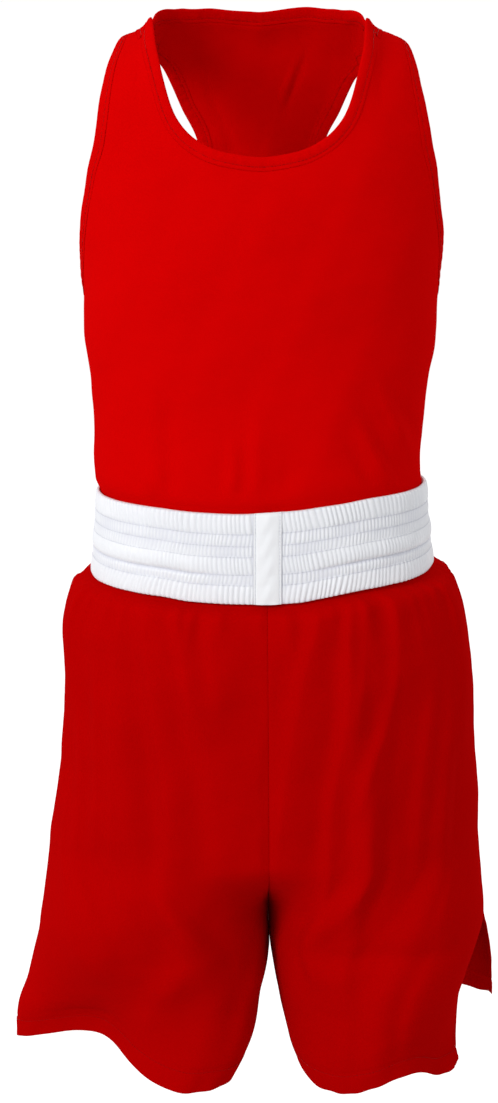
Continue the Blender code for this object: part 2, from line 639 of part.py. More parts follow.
def build():
    for item in list(bpy.data.objects):
        bpy.data.objects.remove(item)
    bpy.context.scene.collection.children.link(bpy.data.collections.new(NAME))

    add(wall, "vest_front", "red", *vest_panel(-1))
    add(wall, "vest_back", "red", *vest_panel(1))
    front, back = VEST_COLUMNS["neck"], VEST_COLUMNS["back_neck"]
    round_neck = np.concatenate([np.linspace(-1, 1, front + 1)[:-1], np.linspace(1, 3, back + 1)[:-1]])
    round_neck = np.where(round_neck > 2, round_neck - 4, round_neck)
    add(hoop, "neckband", "red", edge_band(neckline, round_neck, NECKBAND_WIDTH, 1))
    up, down = VEST_ROWS["arm"], VEST_ROWS["back_arm"]
    round_arm = np.concatenate([np.linspace(0, 1, up + 1)[:-1], np.linspace(1, 2, down + 1)[:-1]])
    for side_name, side in (("left", 1), ("right", -1)):
        add(hoop, f"armband_{side_name}", "red", edge_band(armhole(side), round_arm, ARMBAND_WIDTH, -side))

    band, under_joint = waistband()
    add(hoop, "waistband", "white", band)
    out = np.broadcast_to((0.0, -1.0, 0.0), under_joint.shape)
    add(wall, "waistband_joint", "white", under_joint + out * (SEAM + JOINT_WALL), under_joint + out * SEAM)

    for side_name, side in (("left", 1), ("right", -1)):
        for face_name, face in (("front", -1), ("back", 1)):
            base, push = shorts_panel(side, face)
            across, level = np.meshgrid(np.linspace(0, 1, SHORTS_COLUMNS + 1), SHORTS_LEVELS, indexing="ij")
            surface = base(across, level)
            edge = 1e-4  # keeps the slopes inside the panel
            out = slopes(base, np.clip(across, edge, 1 - edge), level)[2] * side * face
            swell, lift = push(across, level)
            outer = surface + out * swell[..., None]
            outer[..., 2] += lift
            inner = outer - out * SHORTS_WALL
            parted(outer, inner, 0, 1)
            parted(outer, inner, -1, -2, slice(CROTCH_ROW, None))
            add(wall, f"shorts_{face_name}_{side_name}", "red", outer, inner)


build()
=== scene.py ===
"""Looks of a sleeveless boxing suit, filled out as on a wearer: vest, gathered waistband and loose shorts.

Metres, +Z up. The front faces -Y and the wearer's left side, called left here, is at +X.
Each piece of cloth is a thin wall on the form of its CAD solid, which it stands for.
"""

import math

import bmesh
import bpy
import numpy as np
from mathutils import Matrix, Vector


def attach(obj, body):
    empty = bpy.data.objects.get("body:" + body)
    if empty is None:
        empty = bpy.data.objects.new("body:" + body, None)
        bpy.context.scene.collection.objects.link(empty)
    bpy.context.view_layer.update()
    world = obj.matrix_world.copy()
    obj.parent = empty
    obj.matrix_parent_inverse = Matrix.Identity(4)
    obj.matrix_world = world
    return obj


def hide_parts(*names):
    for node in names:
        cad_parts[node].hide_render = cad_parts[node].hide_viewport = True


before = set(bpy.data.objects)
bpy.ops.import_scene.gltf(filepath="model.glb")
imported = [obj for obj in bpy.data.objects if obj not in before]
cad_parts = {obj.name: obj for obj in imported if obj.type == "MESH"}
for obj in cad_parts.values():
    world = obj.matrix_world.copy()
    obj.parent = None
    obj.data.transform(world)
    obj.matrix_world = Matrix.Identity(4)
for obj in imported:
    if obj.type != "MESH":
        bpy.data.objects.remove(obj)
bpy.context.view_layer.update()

# Vest panels. The front and the racerback are cut from one red polyester jersey, light and matt.
# Side and shoulder seams join them, and the lower edge is sewn in under the waistband.

VEST_WALL = 0.0014
SEAM = 0.0003  # the gap along one
EDGE_ROUND = 0.3  # of the wall, at a panel's turned edges
SEAM_DIP, SEAM_DIP_WIDTH = 0.0007, 0.0028  # the cloth sinks towards a seam
SQUARE = 0.15  # how much fuller than an ellipse a ring of the body is at its corners
BAND_TOP, BAND_LOW = -0.4240, -0.5005  # the waistband, at the side seams
VEST_LOW = -0.469
TUCK, TUCK_GAP = BAND_TOP + 0.002, 0.0005  # below this the vest lies along the inside of the waistband
DOME_FROM, DOME = -0.095, 0.095  # above DOME_FROM the cloth closes over the shoulders
SHOULDER_RISE = DOME_FROM + DOME * math.pi / 2
FALL_FROM, FALL_FULL = -0.16, 0.04  # between these the cloth takes up the fall of the shoulder
ARM_REACH = 0.2  # length of a quarter of the chest
NECK_MIDDLE = -0.0012
STRAP_HEIGHT, STRAP_SOFT = -0.0125, 0.0012  # the most that the front of a strap stands up at the neck
STRAP_FREE, STRAP_BACK, STRAP_FRONT = 0.04, (0.000, 0.026), (-0.040, -0.090)  # beyond these girths it is free to rise
NECK_ROLL, NECK_ROLL_WIDTH = 0.0045, 0.015  # the back of the neck turns outwards this far, over this width
NECK_ROLL_ENDS = (0.096, 0.080)  # all of it within the second of these distances from the middle, none past the first
UNDERARM = 0.29  # the side seams start here, as a girth
NECKBAND_WIDTH, ARMBAND_WIDTH, EDGE_SEAM = 0.0105, 0.0115, 0.0004
FINE = 6  # cells of the cloth for each cell of its cut's plan
VEST_PLAN = {-1: (2, 18, 6, 10), 1: (2, 16, 6, 15)}  # cells along shoulder, neck, side seam and armhole
COARSE_ROUNDS, FINE_ROUNDS = 300, 60  # of evening out the plan
HIDDEN_ROWS = (1, 0.75, 0.5, 0.25)  # rows inside the waistband, as parts of what is tucked in
FOLDS_FULL = -0.405  # the vest's folds are held flat between this and the waistband
VEST_RED, VEST_SHADE_RED = (0.600, 0.0004, 0.0006, 1), (0.545, 0.0003, 0.0004, 1)


def columns(names, *rows):
    """A short table, top row first, as one array for each named column."""
    return dict(zip(names.split(), np.array(rows, float).T))


def rows_of(table):
    """The rows of a table, each as a dictionary."""
    return [dict(zip(table, row)) for row in zip(*table.values())]


BAND_INSIDE = columns(
    "level left right front back",
    (BAND_TOP, -0.1490, 0.1515, 0.1012, 0.0830),
    (BAND_LOW, -0.1550, 0.1590, 0.1042, 0.0880),
)
# How far a level ring drops towards the front, for each metre ahead of the side seams.
LEAN = columns("level slope", (-0.330, 0.0), (BAND_TOP, 0.086), (BAND_LOW, 0.119), (-0.600, 0.0))

# How far the waistband's top and low edge ride up across the body. It sits highest on the left.
TILT = columns(
    "across top low",
    (-0.160, 0.0000, 0.0020),
    (-0.115, 0.0000, 0.0036),
    (-0.090, -0.0004, 0.0038),
    (-0.060, -0.0020, 0.0014),
    (-0.020, -0.0027, 0.0008),
    (0.010, -0.0010, 0.0009),
    (0.032, 0.0003, 0.0018),
    (0.052, 0.0026, 0.0046),
    (0.072, 0.0046, 0.0076),
    (0.100, 0.0076, 0.0100),
    (0.125, 0.0080, 0.0106),
    (0.160, 0.0080, 0.0104),
)


def curve(xs, ys, at):
    """The smooth curve through the points that never swings past them, read at the places in at."""
    order = np.argsort(xs)
    xs, ys = np.asarray(xs, float)[order], np.asarray(ys, float)[order]
    step = np.diff(ys) / np.diff(xs)
    product = step[:-1] * step[1:]
    inner = np.where(product > 0, 2 * product / (step[:-1] + step[1:] + 1e-12 * (product <= 0)), 0)
    slope = np.concatenate([step[:1], inner, step[-1:]])
    at = np.clip(at, xs[0], xs[-1])
    i = np.clip(np.searchsorted(xs, at, "right") - 1, 0, len(xs) - 2)
    width = xs[i + 1] - xs[i]
    t = (at - xs[i]) / width
    bend = (t**3 - 2 * t**2 + t) * slope[i] + (t**3 - t**2) * slope[i + 1]
    return ys[i] + (3 * t**2 - 2 * t**3) * (ys[i + 1] - ys[i]) + width * bend


def ramp(start, end, at):
    """0 at start, 1 at end and beyond, easing in and out."""
    t = np.clip((at - start) / (end - start), 0, 1)
    return t * t * (3 - 2 * t)


def unit(vectors):
    return vectors / np.linalg.norm(vectors, axis=-1, keepdims=True)


def ring(quarter, left, right, front, back):
    """x and y on a ring of the body. quarter is 0 at the front, +-1 at the sides and +-2 at the back."""
    turn = quarter * math.pi / 2
    across, ahead = np.sin(turn), np.cos(turn)
    x = (left + right) / 2 + (right - left) / 2 * across
    y = -np.where(ahead > 0, front, back) * ahead * (1 + SQUARE * across**2)
    return x, y


def quarter_at(x, left, right):
    """The quarter at which the front of a ring reaches x."""
    return np.arcsin((2 * x - left - right) / (right - left)) * 2 / math.pi


def lean(level, x, y):
    """The height of a point of a ring: rings lean forwards and ride up with the waistband they are near."""
    top, low = (curve(TILT["across"], TILT[edge], x) for edge in ("top", "low"))
    down = np.clip((level - BAND_TOP) / (BAND_LOW - BAND_TOP), 0, 1)
    near = ramp(LEAN["level"][0], BAND_TOP, level) * ramp(LEAN["level"][-1], BAND_LOW, level)
    return level + y * curve(LEAN["level"], LEAN["slope"], level) + near * (top + (low - top) * down)


def band_inside(level, inset=0.0):
    """Extents of the waistband's inner wall at a level, straight from its top edge to its low edge."""
    down = (level - BAND_TOP) / (BAND_LOW - BAND_TOP)
    left, right, front, back = (
        BAND_INSIDE[side][0] + down * (BAND_INSIDE[side][1] - BAND_INSIDE[side][0])
        for side in ("left", "right", "front", "back")
    )
    return left + inset, right - inset, front - inset, back - inset


TORSO = columns(
    "level left right front back",
    (0.060, -0.172, 0.175, 0.116, 0.100),
    (-0.040, -0.173, 0.176, 0.119, 0.101),
    (-0.110, -0.174, 0.178, 0.122, 0.104),
    (-0.180, -0.168, 0.171, 0.124, 0.106),
    (-0.235, -0.1620, 0.1625, 0.120, 0.104),
    (-0.288, -0.1595, 0.1590, 0.113, 0.098),
    (-0.324, -0.155, 0.1545, 0.109, 0.093),
    (-0.361, -0.1525, 0.1515, 0.106, 0.089),
    (-0.398, -0.1540, 0.1490, 0.1055, 0.087),
    (-0.412, -0.1530, 0.1495, 0.1045, 0.0855),
    (TUCK, *band_inside(TUCK, TUCK_GAP)),
)
# Height of the shoulder top across the body, falling away to the arm.
SHOULDER = columns(
    "across height",
    (0.000, 0.020),
    (0.040, 0.022),
    (0.067, 0.0168),
    (0.076, 0.0124),
    (0.083, 0.0092),
    (0.088, 0.0062),
    (0.092, 0.0018),
    (0.096, -0.0070),
    (0.100, -0.0150),
    (0.106, -0.0176),
    (0.112, -0.0196),
    (0.119, -0.0225),
    (0.126, -0.0275),
    (0.132, -0.0340),
    (0.138, -0.0410),
    (0.180, -0.0820),
)
# Half of the neck opening, from the front centre over the shoulder to the back centre.
NECKLINE = columns(
    "across girth",
    (-0.030, -0.1880),
    (0.000, -0.1920),
    (0.030, -0.1880),
    (0.053, -0.1780),
    (0.070, -0.1590),
    (0.0795, -0.1300),
    (0.0855, -0.1020),
    (0.0890, -0.0750),
    (0.0945, -0.0350),
    (0.097, 0.0000),
    (0.092, 0.0180),
    (0.077, 0.0360),
    (0.050, 0.0460),
    (0.000, 0.0500),
    (-0.050, 0.0460),
)
# One armhole, from under the arm up the front, over the shoulder and down the racerback.
ARMHOLE = columns(
    "quarter girth",
    (1.200, -0.2830),
    (1.000, -0.2892),
    (0.920, -0.2770),
    (0.825, -0.2540),
    (0.755, -0.2342),
    (0.665, -0.1992),
    (0.600, -0.1642),
    (0.560, -0.1045),
    (0.525, -0.0520),
    (0.508, 0.0000),
    (0.455, 0.0350),
    (0.345, 0.0966),
    (0.284, 0.1310),
    (0.228, 0.1580),
    (0.212, 0.1842),
    (0.260, 0.2142),
    (0.394, 0.2442),
    (0.590, 0.2692),
    (0.800, 0.2830),
    (1.000, 0.2892),
    (1.070, 0.2750),
)
# Soft folds that rise from the waistband and drag across from the left side. face is -1 front, 1 back.
VEST_FOLDS = columns(
    "face across level half_width half_length slant rise",
    (-1, -0.0935, -0.400, 0.0110, 0.062, -0.04, 0.0026),
    (-1, -0.0790, -0.405, 0.0070, 0.055, -0.03, -0.0022),
    (-1, -0.1080, -0.415, 0.0060, 0.022, -0.10, -0.0012),
    (-1, -0.0340, -0.412, 0.0060, 0.034, 0.05, -0.0014),
    (-1, -0.0245, -0.410, 0.0070, 0.036, 0.03, 0.0012),
    (-1, -0.0150, -0.410, 0.0060, 0.044, 0.04, -0.0018),
    (-1, -0.0030, -0.405, 0.0080, 0.044, 0.02, 0.0018),
    (-1, 0.0220, -0.415, 0.0070, 0.030, 0.00, -0.0010),
    (-1, 0.0550, -0.400, 0.0200, 0.050, 0.10, 0.0016),
    (-1, 0.0990, -0.384, 0.0060, 0.028, -0.56, 0.0026),
    (-1, 0.1120, -0.384, 0.0055, 0.030, -0.55, -0.0024),
    (-1, 0.1190, -0.358, 0.0060, 0.034, -0.50, 0.0026),
    (-1, 0.1300, -0.352, 0.0060, 0.030, -0.50, -0.0020),
    (-1, 0.0900, -0.398, 0.0055, 0.024, -0.60, -0.0018),
    (1, 0.0600, -0.390, 0.0120, 0.055, 0.10, 0.0026),
    (1, 0.0750, -0.395, 0.0080, 0.045, 0.08, -0.0020),
    (1, -0.0500, -0.395, 0.0120, 0.055, -0.08, 0.0024),
    (1, -0.0660, -0.400, 0.0080, 0.040, -0.06, -0.0018),
    (1, 0.0050, -0.405, 0.0090, 0.040, 0.00, -0.0014),
    (1, 0.1150, -0.370, 0.0080, 0.040, -0.45, 0.0022),
    (1, -0.1150, -0.365, 0.0080, 0.040, 0.45, 0.0022),
    (1, 0.0340, -0.048, 0.0045, 0.020, 0.35, 0.0018),
    (1, 0.0265, -0.050, 0.0045, 0.018, 0.40, -0.0014),
    (1, 0.0520, -0.090, 0.0050, 0.025, 0.40, 0.0014),
    (1, 0.0100, -0.110, 0.0070, 0.030, 0.15, -0.0012),
    (1, -0.0300, -0.095, 0.0060, 0.030, -0.25, 0.0014),
    (1, -0.0450, -0.060, 0.0060, 0.026, -0.30, 0.0014),
    (1, -0.0600, -0.100, 0.0050, 0.030, -0.35, 0.0014),
)
# Broad waves that keep hung cloth from being perfectly even: how many a metre along x and z, and how high.
CRUMPLE = columns(
    "along_x along_z phase height",
    (9.0, 4.0, 0.4, 0.00055),
    (-6.0, 11.0, 2.1, 0.00050),
    (17.0, -7.0, 4.4, 0.00030),
    (23.0, 19.0, 1.3, 0.00018),
    (-31.0, 13.0, 5.2, 0.00014),
    (11.0, -37.0, 3.3, 0.00010),
)


def torso(quarter, girth):
    """A point on the vest. girth runs from the front waist up to the shoulder (0) and down the back."""
    quarter, girth = np.broadcast_arrays(np.asarray(quarter, float), np.asarray(girth, float))
    past = np.abs(quarter) > 1  # round the side seam, on the other face
    quarter, girth = np.where(past, 2 * np.sign(quarter) - quarter, quarter), np.where(past, -girth, girth)
    rise = SHOULDER_RISE - np.abs(girth)
    climb = np.clip((rise - DOME_FROM) / DOME, 0, None)
    level = np.where(climb > 0, DOME_FROM + DOME * np.sin(climb), rise)
    left, right, front, back = (
        np.where(level < TUCK, tuck, curve(TORSO["level"], TORSO[side], level))
        for side, tuck in zip(("left", "right", "front", "back"), band_inside(level, TUCK_GAP))
    )
    depth = np.where(girth > 0, -back, front) * np.cos(climb)
    x, y = ring(quarter, left, right, depth, depth)
    height = curve(SHOULDER["across"], SHOULDER["height"], np.abs(x - NECK_MIDDLE))
    most = STRAP_HEIGHT + STRAP_FREE * (ramp(*STRAP_BACK, girth) + ramp(*STRAP_FRONT, girth))
    height = -STRAP_SOFT * np.logaddexp(-height / STRAP_SOFT, -most / STRAP_SOFT)  # a soft least of the two
    return np.stack([x, y, lean(level, x, y) + height * ramp(FALL_FROM, FALL_FULL, rise)], axis=-1)


def slopes(face, u, v, step=1e-4):
    """How a face moves for each step of its two coordinates, and its outward direction."""
    along_u = (face(u + step, v) - face(u - step, v)) / (2 * step)
    along_v = (face(u, v + step) - face(u, v - step)) / (2 * step)
    return along_u, along_v, unit(np.cross(along_u, along_v))


def path_table(along, girth, scale):
    """A path's two columns and the place of each row: 0..1 up the front, 1..2 down the back.

    The first and last rows only steer the ends of the curve, which lie on the rows next to them.
    """
    length = np.concatenate([[0], np.cumsum(np.hypot(np.diff(along) * scale, np.diff(girth)))])
    length -= length[1]
    shoulder, end = length[np.argmin(np.abs(girth))], length[-2]
    place = np.where(length <= shoulder, length / shoulder, 1 + (length - shoulder) / (end - shoulder))
    return place, along, girth


def neckline(at):
    """Where the neckline lies on the vest, at -2..2: front centre 0, shoulders +-1, back centre +-2."""
    half = path_table(NECKLINE["across"], NECKLINE["girth"], 1)
    across, girth = (curve(half[0], column, np.abs(at)) for column in half[1:])
    rise = SHOULDER_RISE - np.abs(girth)
    level = np.where(rise > DOME_FROM, DOME_FROM + DOME * np.sin((rise - DOME_FROM) / DOME), rise)
    left, right = (curve(TORSO["level"], TORSO[edge], level) for edge in ("left", "right"))
    x = NECK_MIDDLE + np.where(at < 0, -1, 1) * across
    return quarter_at(x, left, right), girth


def armhole(side):
    """The path of the armhole on one side, at 0..2: under the arm 0, shoulder 1, under the arm again 2."""
    place, quarter, girth = path_table(ARMHOLE["quarter"], ARMHOLE["girth"], ARM_REACH)
    return lambda at: (side * curve(place, quarter, at), curve(place, girth, at))


def moved_in(path, at, distance, hand):
    """Where the vest is a distance from a path's edge into the cloth, measured on the cloth."""
    step = 1e-3
    quarter, girth = path(at)
    before, after = torso(*path(at - step)), torso(*path(at + step))
    along_q, along_g, out = slopes(torso, quarter, girth)
    inward = hand * unit(np.cross(after - before, out)) * np.asarray(distance)[..., None]
    qq, qg, gg = ((a * b).sum(-1) for a, b in ((along_q, along_q), (along_q, along_g), (along_g, along_g)))
    q, g = (along_q * inward).sum(-1), (along_g * inward).sum(-1)
    fall = qq * gg - qg * qg
    return quarter + (gg * q - qg * g) / fall, girth + (qq * g - qg * q) / fall


def relaxed(plan, rounds):
    """Evens out a grid of places on the cloth with its edges held, so that none of its cells folds over."""
    plan = plan * (ARM_REACH, 1)
    for _ in range(rounds):
        across, up = plan[2:, 1:-1] - plan[:-2, 1:-1], plan[1:-1, 2:] - plan[1:-1, :-2]
        wide, tall, slanted = (across**2).sum(-1), (up**2).sum(-1), (across * up).sum(-1) / 2
        twist = plan[2:, 2:] - plan[2:, :-2] - plan[:-2, 2:] + plan[:-2, :-2]
        beside, over = plan[2:, 1:-1] + plan[:-2, 1:-1], plan[1:-1, 2:] + plan[1:-1, :-2]
        even = tall[..., None] * beside + wide[..., None] * over - slanted[..., None] * twist
        plan[1:-1, 1:-1] = even / (2 * (wide + tall))[..., None]
    return plan / (ARM_REACH, 1)


def filled_in(coarse, times):
    """A grid with this many cells for each one of a coarse grid, straight between its points."""
    for axis in (0, 1):
        count = coarse.shape[axis]
        at = np.linspace(0, count - 1, (count - 1) * times + 1)
        coarse = np.apply_along_axis(lambda line: np.interp(at, np.arange(count), line), axis, coarse)
    return coarse


def vest_plan(face):
    """The places of a vest panel's points on the vest, first index across and second up."""
    shoulder, neck_cells, side_cells, arm_cells = (FINE * cells for cells in VEST_PLAN[face])
    low, tuck = face * (SHOULDER_RISE - VEST_LOW), face * (SHOULDER_RISE - TUCK)
    along_arm = np.linspace(0, 1, arm_cells + 1) if face < 0 else np.linspace(2, 1, arm_cells + 1)
    edges = []
    for side in (-1, 1):
        arm = np.stack(moved_in(armhole(side), along_arm, ARMBAND_WIDTH + EDGE_SEAM, -side), -1)
        arm[0, 0] = side
        edges.append(np.concatenate([np.linspace((side, tuck), arm[0], side_cells + 1)[:-1], arm]))
    along_neck = np.linspace(-1, 1, neck_cells + 1) if face < 0 else np.linspace(3, 1, neck_cells + 1)
    along_neck = np.where(along_neck > 2, along_neck - 4, along_neck)
    neck = np.stack(moved_in(neckline, along_neck, NECKBAND_WIDTH + EDGE_SEAM, 1), -1)
    top = np.concatenate([np.linspace(edges[0][-1], neck[0], shoulder + 1)[:-1], neck,
                          np.linspace(neck[-1], edges[1][-1], shoulder + 1)[1:]])
    u = np.linspace(0, 1, len(top))[:, None, None]
    v = np.linspace(0, 1, len(edges[0]))[None, :, None]
    foot = np.stack([np.linspace(-1, 1, len(top)), np.full(len(top), tuck)], -1)
    corners = (1 - u) * ((1 - v) * foot[0] + v * top[0]) + u * ((1 - v) * foot[-1] + v * top[-1])
    plan = (1 - v) * foot[:, None] + v * top[:, None] + (1 - u) * edges[0] + u * edges[1] - corners
    plan[1:-1, 1:-1] = filled_in(relaxed(plan[::FINE, ::FINE], COARSE_ROUNDS), FINE)[1:-1, 1:-1]
    plan = relaxed(plan, FINE_ROUNDS)
    hidden = [(foot - (0, (tuck - low) * part))[:, None] for part in HIDDEN_ROWS]
    return np.concatenate([*hidden, plan], 1)


def crumpled(places):
    """How far evenly hung cloth stands off its form at each of its places."""
    return sum(wave["height"] * np.sin(2 * math.pi * (wave["along_x"] * places[..., 0]
               + wave["along_z"] * places[..., 2]) + wave["phase"]) for wave in rows_of(CRUMPLE))


def rolled(places, girth):
    """How far the back of the neck rolls over outwards: most at its edge, nothing below its binding."""
    across, back = np.abs(places[..., 0] - NECK_MIDDLE), slice(-2, -7, -1)  # the neckline's rows behind
    edge = np.interp(across, NECKLINE["across"][back], NECKLINE["girth"][back])
    return NECK_ROLL * ramp(NECK_ROLL_WIDTH, 0, girth - edge) * ramp(*NECK_ROLL_ENDS, across) * (girth > 0)


def on_vest(quarter, girth):
    """Points on the vest with its soft folds, and the outward direction there."""
    places = torso(quarter, girth)
    out = slopes(torso, quarter, girth)[2]
    girth, rise = np.asarray(girth), 0
    for fold in rows_of(VEST_FOLDS):
        down = places[..., 2] - fold["level"]
        away = (places[..., 0] - fold["across"] - fold["slant"] * down) / fold["half_width"]
        shape = np.exp(-away**2 - (down / fold["half_length"]) ** 2)
        rise = rise + np.where(girth * fold["face"] > 0, fold["rise"], 0) * shape
    rise = (rise + crumpled(places)) * ramp(BAND_TOP, FOLDS_FULL, places[..., 2]) + rolled(places, girth)
    return places + out * rise[..., None], out


class Dye:
    """A value in a finish. Sums on it add Math nodes, and node() adds any other kind."""

    def __init__(self, tree, socket=None):
        self.tree, self.socket = tree, socket

    def node(self, kind, settings=(), values=(), output=0):
        """Adds a node: its settings come first, then the values or links of its sockets."""
        made = self.tree.nodes.new("ShaderNode" + kind)
        for name, value in dict(settings).items():
            setattr(made, name, value)
        for name, value in dict(values).items():
            if isinstance(value, Dye):
                self.tree.links.new(value.socket, made.inputs[name])
            else:
                made.inputs[name].default_value = value
        return Dye(self.tree, made.outputs[output] if len(made.outputs) else None)

    def sum(self, operation, *terms):
        return self.node("Math", {"operation": operation}, enumerate(terms))

    def __add__(self, other):
        return self.sum("ADD", self, other)

    def __mul__(self, other):
        return self.sum("MULTIPLY", self, other)

    __radd__, __rmul__ = __add__, __mul__

    def wave(self):
        return self.sum("SINE", self)

    def cloth_uv(self):
        """The two coordinates of the flat cloth."""
        flat = self.node("UVMap", {"uv_map": "cloth"})
        return [self.node("SeparateXYZ", (), {0: flat}, output=axis) for axis in (0, 1)]

    def noise(self, scale, detail, roughness=0.5):
        """Soft chance patches, where this value is a place."""
        return self.node("TexNoise", (), {"Vector": self, "Scale": scale, "Detail": detail, "Roughness": roughness})

    def eased(self, start, end):
        """0 where this value is at start, 1 where it is at end, easing in and out."""
        return self.node("MapRange", {"interpolation_type": "SMOOTHSTEP"},
                         {"Value": self, "From Min": start, "From Max": end})

    def mixed(self, first, second):
        """The first colour where this value is 0, the second where it is 1."""
        return self.node("Mix", {"data_type": "RGBA"}, {0: self, 6: first, 7: second}, output=2)


def new_finish(name):
    """An empty material, and a Dye to start its nodes from."""
    material = bpy.data.materials.new(name)
    material.use_nodes = True
    material.node_tree.nodes.clear()
    return material, Dye(material.node_tree)


def coloured(start, colour, roughness, bump, **sheen):
    """Ends a finish: its Principled shader, with the surface lit as if raised by bump, in metres."""
    normal = start.node("Bump", (), {"Strength": 1.0, "Distance": 1.0, "Height": bump})
    shader = start.node("BsdfPrincipled", (), {
        "Base Color": colour, "Roughness": roughness, "Normal": normal,
        **{name.replace("_", " "): value for name, value in sheen.items()}})
    start.node("OutputMaterial", (), {"Surface": shader})


def knit_red(name, light, shade, wale=0.0009, depth=0.00005, gloss=0.60):
    """Red polyester, knitted or closely woven: fine ribs along the cloth, uneven colour and nap."""
    material, start = new_finish(name)
    u, v = start.cloth_uv()
    loops = (u * (2 * math.pi / wale)).wave() * (v * (2 * math.pi / wale / 1.3)).wave()
    place = start.node("TexCoord", output=3)
    nap, patches = place.noise(420.0, 3.0, 0.6), place.noise(9.0, 4.0)
    colour = (patches * 0.7 + nap * 0.25 + loops * 0.06).mixed(light, shade)
    coloured(start, colour, gloss - 0.08 + patches * 0.10 + nap * 0.08, loops * depth + nap * 0.00006,
             Specular_IOR_Level=0.0, Sheen_Weight=0.12,
             Sheen_Roughness=0.45, Sheen_Tint=(1.0, 0.02, 0.02, 1))
    return material


def uncut(work, across, up, flat):
    """Fills work with a grid of so many cells, its flat shape as a UV map. Gives each point's column and row."""
    bmesh.ops.create_grid(work, x_segments=across, y_segments=up, size=1)
    cells = {point: (round((point.co.x + 1) / 2 * across), round((point.co.y + 1) / 2 * up))
             for point in work.verts}
    cloth = work.loops.layers.uv.new("cloth")
    for face in work.faces:
        face.smooth = True
        for corner in face.loops:
            corner[cloth].uv = flat[cells[corner.vert]]
    return cells


def cloth_panel(name, places, outward, flat, finish, wall):
    """A panel of cloth: a grid moved to its places, with a wall grown inwards and its edges turned."""
    work = bmesh.new()
    cells = uncut(work, places.shape[0] - 1, places.shape[1] - 1, flat)
    for point, cell in cells.items():
        point.co = places[cell]
    work.normal_update()
    if sum(point.normal.dot(outward[cell]) for point, cell in cells.items()) < 0:
        bmesh.ops.reverse_faces(work, faces=work.faces)
    piece = finished(name, work, finish)
    growth = piece.modifiers.new("wall", "SOLIDIFY")
    growth.thickness, growth.offset, growth.use_even_offset = wall, -1, False
    rounding = piece.modifiers.new("turned edge", "BEVEL")
    rounding.width, rounding.segments = wall * EDGE_ROUND, 2
    rounding.limit_method, rounding.angle_limit = "ANGLE", math.radians(60)
    return piece


def in_scene(name, work, finish):
    """The object of a finished mesh."""
    mesh = bpy.data.meshes.new(name)
    work.to_mesh(mesh)
    work.free()
    mesh.materials.append(finish)
    piece = bpy.data.objects.new(name, mesh)
    bpy.context.scene.collection.objects.link(piece)
    return piece


def finished(name, work, finish):
    """The object of a finished mesh, riding on the frame."""
    piece = in_scene(name, work, finish)
    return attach(piece, "root")


vest_jersey = knit_red("vest jersey", VEST_RED, VEST_SHADE_RED)
VEST_CUT = {-1: ("front", (0.49, 0.56), 0.152), 1: ("back", (0.47, 0.56), 0.131)}
for face, (face_name, flat_size, flat_area) in VEST_CUT.items():
    plan = vest_plan(face)
    points, outward = on_vest(plan[..., 0], plan[..., 1])
    from_side = (1 - np.abs(plan[..., 0])) * ARM_REACH
    from_shoulder = np.abs(plan[..., 1])
    dip = np.exp(-(from_side / SEAM_DIP_WIDTH) ** 2) * (plan[..., 1] * face > UNDERARM)
    dip = dip + np.exp(-(from_shoulder / SEAM_DIP_WIDTH) ** 2)
    points = points - outward * (dip * SEAM_DIP)[..., None]
    seam_rows = slice(0, FINE * VEST_PLAN[face][2] + len(HIDDEN_ROWS) + 1)
    shoulder_cells = FINE * VEST_PLAN[face][0] + 1
    for edge, towards in ((0, 1), (-1, -2)):
        points[edge, seam_rows] += unit(points[towards, seam_rows] - points[edge, seam_rows]) * SEAM / 2
    for cells in (slice(0, shoulder_cells), slice(-shoulder_cells, None)):
        points[cells, -1] += unit(points[cells, -2] - points[cells, -1]) * SEAM / 2
    panel = cloth_panel(f"vest_{face_name}_cloth", points, outward, plan * (ARM_REACH, 1), vest_jersey, VEST_WALL)
    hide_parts(f"vest_{face_name}")

# Neck and arm bindings: strips of the vest's own jersey, folded over the cut edges and sewn down with one row.
# The fold is soft and full, the sewing puckers it a little, and its lips lie over the panel on both sides.

BINDING_PUCKER, PUCKER_LENGTH = 0.00022, 0.0085
BINDING_SWAY = 0.00012  # how far a binding strays in width and height
BINDING_STEP = 0.0018  # between two sections of a binding
THREAD_FROM_LIP, THREAD_OVER = 0.0024, 0.00040
# Unevenness along a piece of cloth, each a sum of waves: height, turns a metre in radians, and phase.
PUCKER_WANDER = ((1.7, 61, 0), (1.1, 143, 0))
SLOW_SWAY = ((1, 39, 1.0), (0.6, 97, 0))
# Half of a binding's section: how far from the edge, as a part of its width, and how far over the panel.
BINDING_SECTION = columns(
    "part over",
    (0.00, -0.00070),
    (0.02, -0.00020),
    (0.07, 0.00028),
    (0.16, 0.00062),
    (0.32, 0.00085),
    (0.50, 0.00088),
    (0.66, 0.00072),
    (0.76, 0.00034),
    (0.84, 0.00042),
    (0.96, 0.00050),
    (1.08, 0.00042),
    (1.12, 0.00020),
    (1.10, 0.00008),
    (0.99, 0.00006),
)
THREAD_RED = (0.43, 0.0010, 0.0012, 1)
STITCH, STITCH_GAP, THREAD_RADIUS = 0.0026, 0.0006, 0.00026
# Along one stitch: places as parts of its pitch, and how thick the thread is there.
STITCH_PLACES, STITCH_THICK = (0, 0.08, 0.3, 0.6, 0.82, 0.9), (0.0, 0.8, 1.0, 1.0, 0.8, 0.0)
THREAD_SIDES = 6
THREAD_LIFT, THREAD_SUNK = 0.6, 0.3  # its middle rises with its thickness, and sinks by a part of its radius


def waves(length, terms, turn=1):
    """A sum of waves along a length. turn moves the phases on, as from one channel of a band to the next."""
    return sum(height * np.sin(length * often + turn * phase) for height, often, phase in terms)


